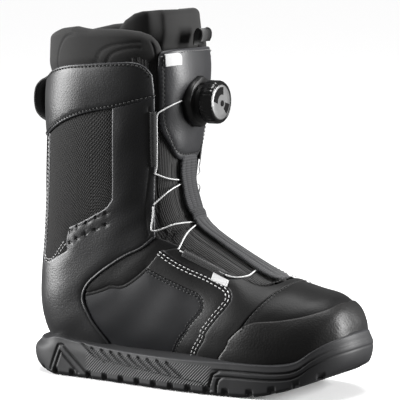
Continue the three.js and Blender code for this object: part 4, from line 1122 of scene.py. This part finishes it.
def build_gusset(name, side):
    """Elastic knit from the tongue's edge to under the eyestay."""
    t, share = patch(9.0, 17.85, 90, 0, 1, 26)
    phi = 0.5 + 0.62 * share
    height = -6.0 + 0.25 * np.sin(share * 40) + 2.6 * smooth(0.45, 0.85, share) - 1.6 * smooth(.1, 0, share)
    grid_piece(f"gusset_knit_{name}", GUSSET_KNIT, at(t, phi * side, height), uv=np.stack([t * UV_T, phi * 48], -1),
               flip=side == MEDIAL, thickness=0.8, slot="textile",
               bend=("root", "tongue", *bend_ends(side, 200.0, 43, 31)))
    t, share = patch(5.0, 9.3, 50, 0, 1, 20)
    phi = 0.4 + 0.62 * share
    height = -6.0 + 2.4 * smooth(0.5, 0.9, share) - 1.4 * smooth(.1, 0, share)
    grid_piece(f"throat_lining_{name}", GUSSET_KNIT, at(t, phi * side, height), uv=np.stack([t * UV_T, phi * 55], -1),
               flip=side == MEDIAL, thickness=0.8, slot="textile")


# ---------------------------------------------------------------- liner

LINER_RIM = [(.58, 17.9), (.66, 18.2), (.78, 18.42), (.95, 18.56), (1.25, 18.70), (1.6, 18.84), (1.85, 19.0),
             (2.2, 19.02), (2.6, 18.95), (PI, 18.85)]
LINER_IN = -17.6


def liner_outside(t):
    """The liner is thick at the collar, where it stands proud of the shell, and slim inside it."""
    return -6.4 + 4.9 * smooth(17.35, 17.95, t)


def foot_depth(t):
    """How much deeper the liner's inside lies along the foot."""
    return 7.0 * (0.45 + 0.55 * smooth(6, 12, t))


def strip_uv(rows, step, across):
    """UVs of a grid whose rows are step mm apart, with the given places across it."""
    return np.stack(np.meshgrid(np.arange(rows) * step, across, indexing="ij"), -1)


def bend_ends(side, height, start, end):
    """Two frame points at Y of start and end mm on the given side and height, passed on with bend."""
    return [world([0, -side * y, height]) for y in (start, end)]


def build_liner():
    """The liner's collar, rolled over at its rim, then its foot, footbed and tongue."""
    columns = 300
    phi = np.linspace(LINER_RIM[0][0], 2 * PI - LINER_RIM[0][0], columns)
    folded = np.where(phi > PI, 2 * PI - phi, phi)
    fullness = rounded((folded - LINER_RIM[0][0]) / 0.16)
    rim = np.interp(folded, *np.array(LINER_RIM).T)
    rows, seam = [], []
    radius, inner_low, outer_low = 0.26, 9.0, 15.6
    seam_line = line([(17.0, 2.13), (17.89, 2.13), (18.35, 2.06), (18.68, 1.92), (18.71, 1.68), (18.58, 1.38),
                      (18.43, 1.05), (18.23, .82), (17.3, .72)])
    arcs = [line([(17.3, 1.6), (17.78, 1.54), (18.10, 1.48), (18.22, 1.36), (18.24, 1.18), (18.24, .98)]),
            line([(17.3, 1.48), (17.7, 1.45), (17.95, 1.38), (18.05, 1.26), (18.08, 1.1), (18.06, .98)])]
    measures = [Near(dense(row)) for row in (seam_line, *arcs)]

    def add(t, height=None):
        """Adds a ring at t. Without a height, it lies on the outside, with the seams sunk."""
        middle = (liner_outside(t) + LINER_IN) / 2
        near = np.zeros(columns)
        if height is None:
            points = face(t, folded)
            for measure in measures:
                near = np.maximum(near, np.exp(-((measure(points) / 0.8) ** 2)))
            height = liner_outside(t) - 0.9 * near
        rows.append(at(t, phi, middle + (height - middle) * fullness))
        # The collar's sunk seams are marked to be darkened: painted shade in these hollows.
        seam.append(near)

    for share in np.linspace(0, 1, 70):
        add(outer_low + (rim - radius - outer_low) * share)
    for turn in np.linspace(0, PI, 13)[1:-1]:
        t = rim - radius + radius * np.sin(turn)
        high = liner_outside(t)
        add(t, (high + LINER_IN) / 2 + (high - LINER_IN) / 2 * np.cos(turn))
    for share in np.linspace(0, 1, 46):
        t = rim - radius + (inner_low - rim + radius) * share
        add(t, LINER_IN + 0.35 * np.sin(t * 9) * smooth(9.5, 12, t))
    grid_piece("liner_collar", LINER_CLOTH, np.array(rows), uv=strip_uv(len(rows), 2.0, phi * 60),
               marks={"seam": seam}, slot="liner", nodes=["liner_body"], fill=0.7)
    t, phi = patch(2.4, 10.6, 60, -PI, PI, 90)
    grid_piece("liner_foot", LINER_INNER, at(t, phi, -10.2 - foot_depth(t)), uv=np.stack([t * UV_T, phi * 45], -1),
               slot="liner")
    t, phi = patch(2.9, 10.2, 60, 2.45, 2 * PI - 2.45, 36)
    grid_piece("footbed_cloth", LINER_INNER, at(t, phi, -11.0 - foot_depth(t) - 4.4),
               uv=np.stack([t * UV_T, phi * 45], -1), thickness=2.5, slot="foam", nodes=["footbed"], fill=0.3)
    build_liner_tongue()


TONGUE_RIM = [(0, 19.12), (.35, 19.14), (.6, 19.16), (.8, 19.18), (1.0, 19.14), (1.2, 18.98), (1.34, 18.7)]


LINER_TONGUE_END = 1.34


def liner_tongue_surface(phi_from, phi_to, columns, edges):
    """Front, rim and back of a stretch of the liner's tongue, with rounded ends on the given edges."""
    phi = np.linspace(phi_from, phi_to, columns)
    wide = np.abs(phi)
    rim = np.interp(wide, *np.array(TONGUE_RIM).T)
    fullness = rounded((LINER_TONGUE_END - wide) / 0.14) if edges else np.ones(columns)
    radius = 0.2
    narrow = smooth(.5, .72, wide)
    rows, binding = [], []

    def add(t, share, bound=0.0):
        """Adds a row at t, from the back (share -1) to the front (share 1). bound darkens its edge."""
        front = -10.6 + 4.6 * smooth(17.9, 18.5, t) * (1 - smooth(.45, .75, wide)) - 7.6 * narrow
        back = -17.8 - 5.2 * narrow
        rows.append(at(t, phi, (front + back) / 2 + (front - back) / 2 * share * fullness))
        binding.append(np.full(columns, bound))

    low = 9.7 + 4.0 * smooth(.5, 1.3, wide)
    for share in np.linspace(0, 1, 60):
        add(low + (rim - radius - low) * share, 1.0)
    for turn in np.linspace(0, PI, 13)[1:-1]:
        add(rim - radius + radius * np.sin(turn), np.cos(turn), 0.8)
    for share in np.linspace(0, 1, 40):
        add(rim - radius + (low - rim + radius) * share, -1.0)
    return np.array(rows), binding, phi


def build_liner_tongue():
    for label, start, end in (("centre", -.62, .62), ("lateral", .62, LINER_TONGUE_END),
                              ("medial", -LINER_TONGUE_END, -.62)):
        points, binding, phi = liner_tongue_surface(start, end, 40, label != "centre")
        if label == "centre":
            ties = {"body": "liner_tongue_body", "nodes": ["liner_tongue"], "fill": 0.7}
        else:
            ties = {"bend": ("root", "liner_tongue_body", *bend_ends(SIDES[label], 200.0, 46, 33)), "fill": 0.6}
        grid_piece(f"liner_tongue_{label}", LINER_CLOTH, points, marks={"seam": binding},
                   uv=strip_uv(len(points), 2.0, phi * 50), slot="liner", **ties)


# ---------------------------------------------------------------- dial

def build_dial():
    """The housing with its ribs, the scalloped knob and the face with its inlays."""
    seat = np.array([1.2, 0.0, DIAL_HEIGHT])

    def lugs(angle, x, radius):
        quarter = angle / (2 * PI) * 4
        near = np.exp(-(((quarter - np.round(quarter)) / 0.12) ** 4))
        return radius + 1.1 * near * (radius > 18)

    flange = [(-9, 0.05), (-9, 20.2), (0.2, 20.2), (1.2, 19.8), (1.8, 18.9), (1.8, 15.6), (2.4, 15.3), (2.4, 14.2),
              (3.4, 14.2), (3.4, 15.0), (4.4, 15.0), (4.4, 14.2), (5.4, 14.2), (5.4, 15.0), (6.5, 15.0), (7.0, 14.6),
              (7.0, 11.2), (2.4, 11.2), (2.4, 0.05)]
    turned("dial_base", SATIN_PLASTIC, flange, seat, 96, lugs,
           slot="plastic", body="tongue", nodes=["dial_housing"])
    dial_ribs(seat)

    def grip(angle, x, radius):
        scallop = np.abs(np.sin(angle * 14)) ** 0.7
        return radius - 0.45 * (1 - scallop) * smooth(16.4, 17.2, radius) * smooth(7.4, 8.6, x)

    knob = [(7.6, 15.7), (7.6, 17.2), (7.9, 17.7), (8.5, 18.0), (12.5, 18.0), (16.6, 18.0), (17.6, 17.8),
            (18.6, 17.2), (19.3, 16.5), (19.5, 15.9), (19.5, 15.4), (19.2, 15.2), (18.0, 15.1), (18.0, 4.6),
            (8.8, 4.6), (8.8, 15.7), (7.6, 15.7)]
    turned("dial_knob_grip", GLOSS_PLASTIC, knob, seat, 200, grip, slot="plastic", body="knob", nodes=["dial_knob"])
    cap = [(18.3, 0.05), (18.3, 14.7), (18.9, 14.75), (19.25, 14.4), (19.4, 13.7), (19.35, 9.0), (19.3, 0.05)]
    turned("dial_face", METAL_FACE, cap, seat, 96, slot="metal_face", body="knob", nodes=["dial_cap"])
    for k, outline in enumerate(face_inlays()):
        inlay(f"dial_inlay_{k}", outline, seat + [19.35, 0, 0])


RIB_FACES = ((0, 1, 5, 4), (1, 2, 6, 5), (2, 3, 7, 6), (3, 2, 1, 0), (4, 5, 6, 7), (0, 4, 7, 3))


def dial_ribs(seat):
    """Raised ribs over the housing's upper half, behind the knob."""
    points, faces = [], []
    for k in range(-4, 5):
        angle = PI / 2 + k * 0.16
        base = len(points)
        for x, share in ((1.8, 1), (6.6, 0.6)):
            for da, rise in ((-0.03, 0), (-0.03, 0.7), (0.03, 0.7), (0.03, 0)):
                r = 15.0 + rise * share
                points.append(seat + [x, r * math.cos(angle + da), r * math.sin(angle + da)])
        faces += [tuple(base + k for k in corners) for corners in RIB_FACES]
    obj = piece("dial_housing_ribs", points, faces, SATIN_PLASTIC)
    obj.data.shade_flat()
    belongs(obj, "plastic", "tongue")


def face_inlays():
    """Outlines of the dark inlays on the dial's face: two curved windows and a small disc."""
    def arc(radius, turns):
        return [(radius * math.cos(a), radius * math.sin(a)) for a in turns]

    windows = [arc(6.4, turn + np.linspace(-reach, reach, 16) * 1.25)
               + arc(12.6, turn + np.linspace(reach, -reach, 20)) for turn, reach in ((2.2, 0.85), (2.6 + PI, 0.36))]
    return windows + [[(1.2 + y, -1 + z) for y, z in arc(2.6, turns(27))]]


INLAY_DEPTH, INLAY_HEIGHT = 0.3, 0.35


def inlay(name, outline, centre):
    """A flat dark inlay in the dial's face, its outline in (Y, Z)."""
    count = len(outline)
    low = [centre + [-INLAY_DEPTH, y, z] for y, z in outline]
    high = [centre + [INLAY_HEIGHT, y, z] for y, z in outline]
    faces = [(k, (k + 1) % count, count + (k + 1) % count, count + k) for k in range(count)]
    faces += [tuple(range(count, 2 * count)), tuple(reversed(range(count)))]
    obj = piece(name, low + high, faces, GLOSS_PLASTIC)
    obj.data.shade_flat()
    belongs(obj, "plastic", "knob")


# ---------------------------------------------------------------- lace, guides, loops and labels

ON_EYESTAY = 1.7
UNDER_SPINE = (-4.1, -2.75)
LACE_RADIUS = 0.65


def lace_points(route, side, count):
    rows = np.asarray(route, float)
    return through(at(rows[:, 0], rows[:, 1] * side, rows[:, 2]), count)


def crossing(start, end, middle, height):
    """A strand that passes under the spine at t = middle."""
    near = [((place[0] + middle) / 2, .62 * place[1], .1) for place in (start, end)]
    return [start, near[0], (middle, 0, height), near[1], end]


def build_laces():
    """The strands between the guides. Those that cross the tongue's joint are cut in the middle."""
    for name, side in SIDES.items():
        route = [(16.27, .31, 1.6), (16.2, .46, 1.5), (16.1, .62, 1.5), (16.0, .725, 1.6), (15.75, .735, 1.7),
                 (15.2, .72, 1.7), (14.4, .71, 1.7), (13.85, .71, 1.7), (13.65, .73, 1.7)]
        tube(f"lace_from_dial_{name}", LACE_CABLE, lace_points(route, side, 90), LACE_RADIUS,
             slot="lace", nodes=[f"lace_dial_{name}"], bend=("root", "tongue", *bend_ends(side, 240.0, 41, 24)))
    for k, height in enumerate(UNDER_SPINE):
        letter, side = "ab"[k], (LATERAL, MEDIAL)[k]
        strands = {
            "upper": crossing((13.65, .74, ON_EYESTAY), (11.8, -.77, ON_EYESTAY), 12.2, height),
            "lower": [(11.7, .78, ON_EYESTAY), (11.0, .83, ON_EYESTAY),
                      *crossing((10.3, .9, ON_EYESTAY), (8.1, -.78, ON_EYESTAY), 8.45, height)],
        }
        for label, route in strands.items():
            points = lace_points(route, side, 121)
            middle = int(np.argmin(np.abs(points[:, 1])))
            node = [f"lace_cross_{label}_{letter}"]
            for part, half, tip in (("start", points[:middle + 2], 0), ("end", points[middle - 1:], -1)):
                facing = LATERAL if half[tip][1] < 0 else MEDIAL
                tube(f"lace_{label}_{letter}_{part}", LACE_CABLE, half, LACE_RADIUS,
                     slot="lace", nodes=node, bend=("root", "tongue", *bend_ends(facing, 170.0, 34, 8)))
                node = []
    route = [(8.0, .78, 1.7), (7, .72, 1.7), (5.9, .68, 1.7), (5.55, .5, 0), (5.5, .22, -2.75)]
    route += [(t, -phi, h) for t, phi, h in route[::-1]]
    tube("lace_over_vamp", LACE_CABLE, lace_points(route, LATERAL, 160), LACE_RADIUS,
         slot="lace", nodes=["lace_vamp"])


def build_guides():
    """Webbing channels for the lace along the edges of the eyestay and the vamp."""
    for name, side in SIDES.items():
        for label, start, end in (("upper", (16.1, .8), (14, .75)), ("vamp", (7.8, .77), (6.1, .69))):
            middle = line([start, end], 1.5)
            across = np.linspace(-1, 1, 11)
            tp = np.stack([offset(middle, 3.0 * a) for a in across], 1)
            lift = 0.5 + 1.9 * np.sqrt(np.clip(1 - (across * 1.25) ** 2, 0, 1))
            points = at(tp[..., 0], tp[..., 1] * side, np.broadcast_to(lift, tp.shape[:2]))
            grid_piece(f"lace_channel_{label}_{name}", WEBBING, points, uv=strip_uv(len(middle), 1.5, across * 3),
                       flip=side == MEDIAL, thickness=0.5, slot="webbing", nodes=[f"lace_guide_{label}_{name}"])


def build_loops():
    loop = through([(x, 0, z) for x, z in ((-146, 212), (-148.5, 213.5), (-152.5, 215.5), (-157.5, 221), (-159.3, 231),
                                           (-157.5, 241), (-152.5, 246.5), (-148.5, 248.5), (-146, 250))], 70)
    tube("rear_loop_strap", WEBBING, loop, 0, flat=(18, 1.8),
         slot="webbing", body="rear_loop", nodes=["rear_pull_loop"])
    sheet("rear_loop_base", WEBBING, mirrored_half(line([(14.9, PI), (14.9, PI - .2), (17.1, PI - .2),
                                                         (17.1, PI)]), PI), 3.2, low=-1, edge=0.6,
          slot="webbing", nodes=["rear_loop_anchor"])
    loop = through([(x, 0, z) for x, z in ((-1.5, 281), (-1.4, 285), (-1, 290), (2, 294.5), (5.6, 293), (6.2, 288),
                                           (4.4, 284))], 50)
    tube("tongue_loop_strap", WEBBING, loop, 0, flat=(16, 1.4),
         slot="webbing", body="tongue_loop", nodes=["tongue_pull_loop"])


def build_labels():
    """Blank woven labels on the tongue and the vamp."""
    label = joined([(17.42, .31), (17.42, .6)], [(17.42, .6), (17.8, .6)], [(17.8, .6), (17.8, .36)],
                   [(17.8, .36), (17.7, .31), (17.42, .31)])
    sheet("tongue_label_cloth", LABEL_CLOTH, label, 1.6, low=0.2, edge=0.3, spacing=2,
          slot="label", body="tongue", nodes=["tongue_label"])
    label = joined([(6.45, .76), (6.45, .87)], [(6.45, .87), (5.95, .85)], [(5.95, .85), (5.95, .75)],
                   [(5.95, .75), (6.45, .76)])
    sheet("vamp_label_cloth", LABEL_CLOTH, label, 1.6, low=0.2, edge=0.3, spacing=1.5,
          slot="label", nodes=["vamp_label"])


# ---------------------------------------------------------------- carried-over CAD pieces

CAD_FINISHES = {
    FOAM: ("midsole", "lasting_board", "padding_"),
    SATIN_PLASTIC: ("toe_puff", "heel_counter", "dial_spool", "dial_carrier"),
    METAL_FACE: ("dial_screw",),
}


def finish_cad_nodes():
    for material, starts in CAD_FINISHES.items():
        for name, obj in frame["nodes"].items():
            if name.startswith(starts):
                for slot in obj.material_slots:
                    slot.material = material


# ---------------------------------------------------------------- camera, light and floor

CAMERA_TARGET = (0, 0, 150)
CAMERA_TURN, CAMERA_DISTANCE, CAMERA_HEIGHT = math.radians(30.5), 2200.0, 400.0
LENS, SENSOR, SHIFT_UP = 239.4, 36.0, 0.005
FLOOR_REACH, FLOOR_DROP = 9, 0.0005
WORLD_LIGHT, WORLD_SEEN = 0.17, 1.0
SUN_ENERGY, SUN_ANGLE = 2.7, 0.6
# Area lights, in metres: place, size and watts.
LIGHTS = [
    ("rear_left", (-1.7, -0.8, 0.5), (0.9, 1.5), 100.0),
    ("front_right", (1.55, 0.6, 0.45), (0.6, 1.1), 75.0),
]


def build_stage():
    """The camera, a pale floor that shows no reflection in the boot, and plain lights."""
    scene = bpy.context.scene
    scene.view_settings.view_transform = "Standard"
    target = world(CAMERA_TARGET)
    eye = world([math.sin(CAMERA_TURN) * CAMERA_DISTANCE, -math.cos(CAMERA_TURN) * CAMERA_DISTANCE, CAMERA_HEIGHT])
    scene.camera = camera = added("camera", bpy.data.cameras.new("camera"))
    camera.location = eye
    camera.rotation_euler = Vector(target - eye).to_track_quat("-Z", "Y").to_euler()
    camera.data.lens, camera.data.sensor_width, camera.data.shift_y = LENS, SENSOR, SHIFT_UP
    floor_mesh = bpy.data.meshes.new("floor")
    corners = [(x * FLOOR_REACH, y * FLOOR_REACH, 0) for x, y in ((-1, -1), (1, -1), (1, 1), (-1, 1))]
    floor_mesh.from_pydata(corners, [], [(0, 1, 2, 3)])
    floor_mesh.materials.append(Graph("pale_floor").finish(shade(254), 0.9))
    floor = added("floor", floor_mesh)
    floor.location.z = -FLOOR_DROP
    floor.visible_glossy = floor.visible_diffuse = False
    world_data = bpy.data.worlds.new("studio")
    world_data.use_nodes = True
    tree = world_data.node_tree
    background = tree.nodes["Background"]
    path = tree.nodes.new("ShaderNodeLightPath")
    blend = tree.nodes.new("ShaderNodeMix")
    blend.data_type = "FLOAT"
    blend.inputs[2].default_value, blend.inputs[3].default_value = WORLD_LIGHT, WORLD_SEEN
    tree.links.new(path.outputs["Is Camera Ray"], blend.inputs[0])
    tree.links.new(blend.outputs[0], background.inputs["Strength"])
    background.inputs["Color"].default_value = (1, 1, 1, 1)
    scene.world = world_data
    sun = added("overhead", bpy.data.lights.new("overhead", "SUN"))
    sun.data.energy, sun.data.angle = SUN_ENERGY, SUN_ANGLE
    for name, place, size, power in LIGHTS:
        data = bpy.data.lights.new(name, "AREA")
        data.shape, data.size, data.size_y, data.energy = "RECTANGLE", *size, power
        lamp = added(name, data)
        lamp.location = place
        lamp.rotation_euler = (Vector((0, 0, 0.15)) - Vector(place)).to_track_quat("-Z", "Y").to_euler()


build_stage()
build_upper()
build_outsole()
build_tongue()
build_liner()
build_dial()
build_laces()
build_guides()
build_loops()
build_labels()
finish_cad_nodes()
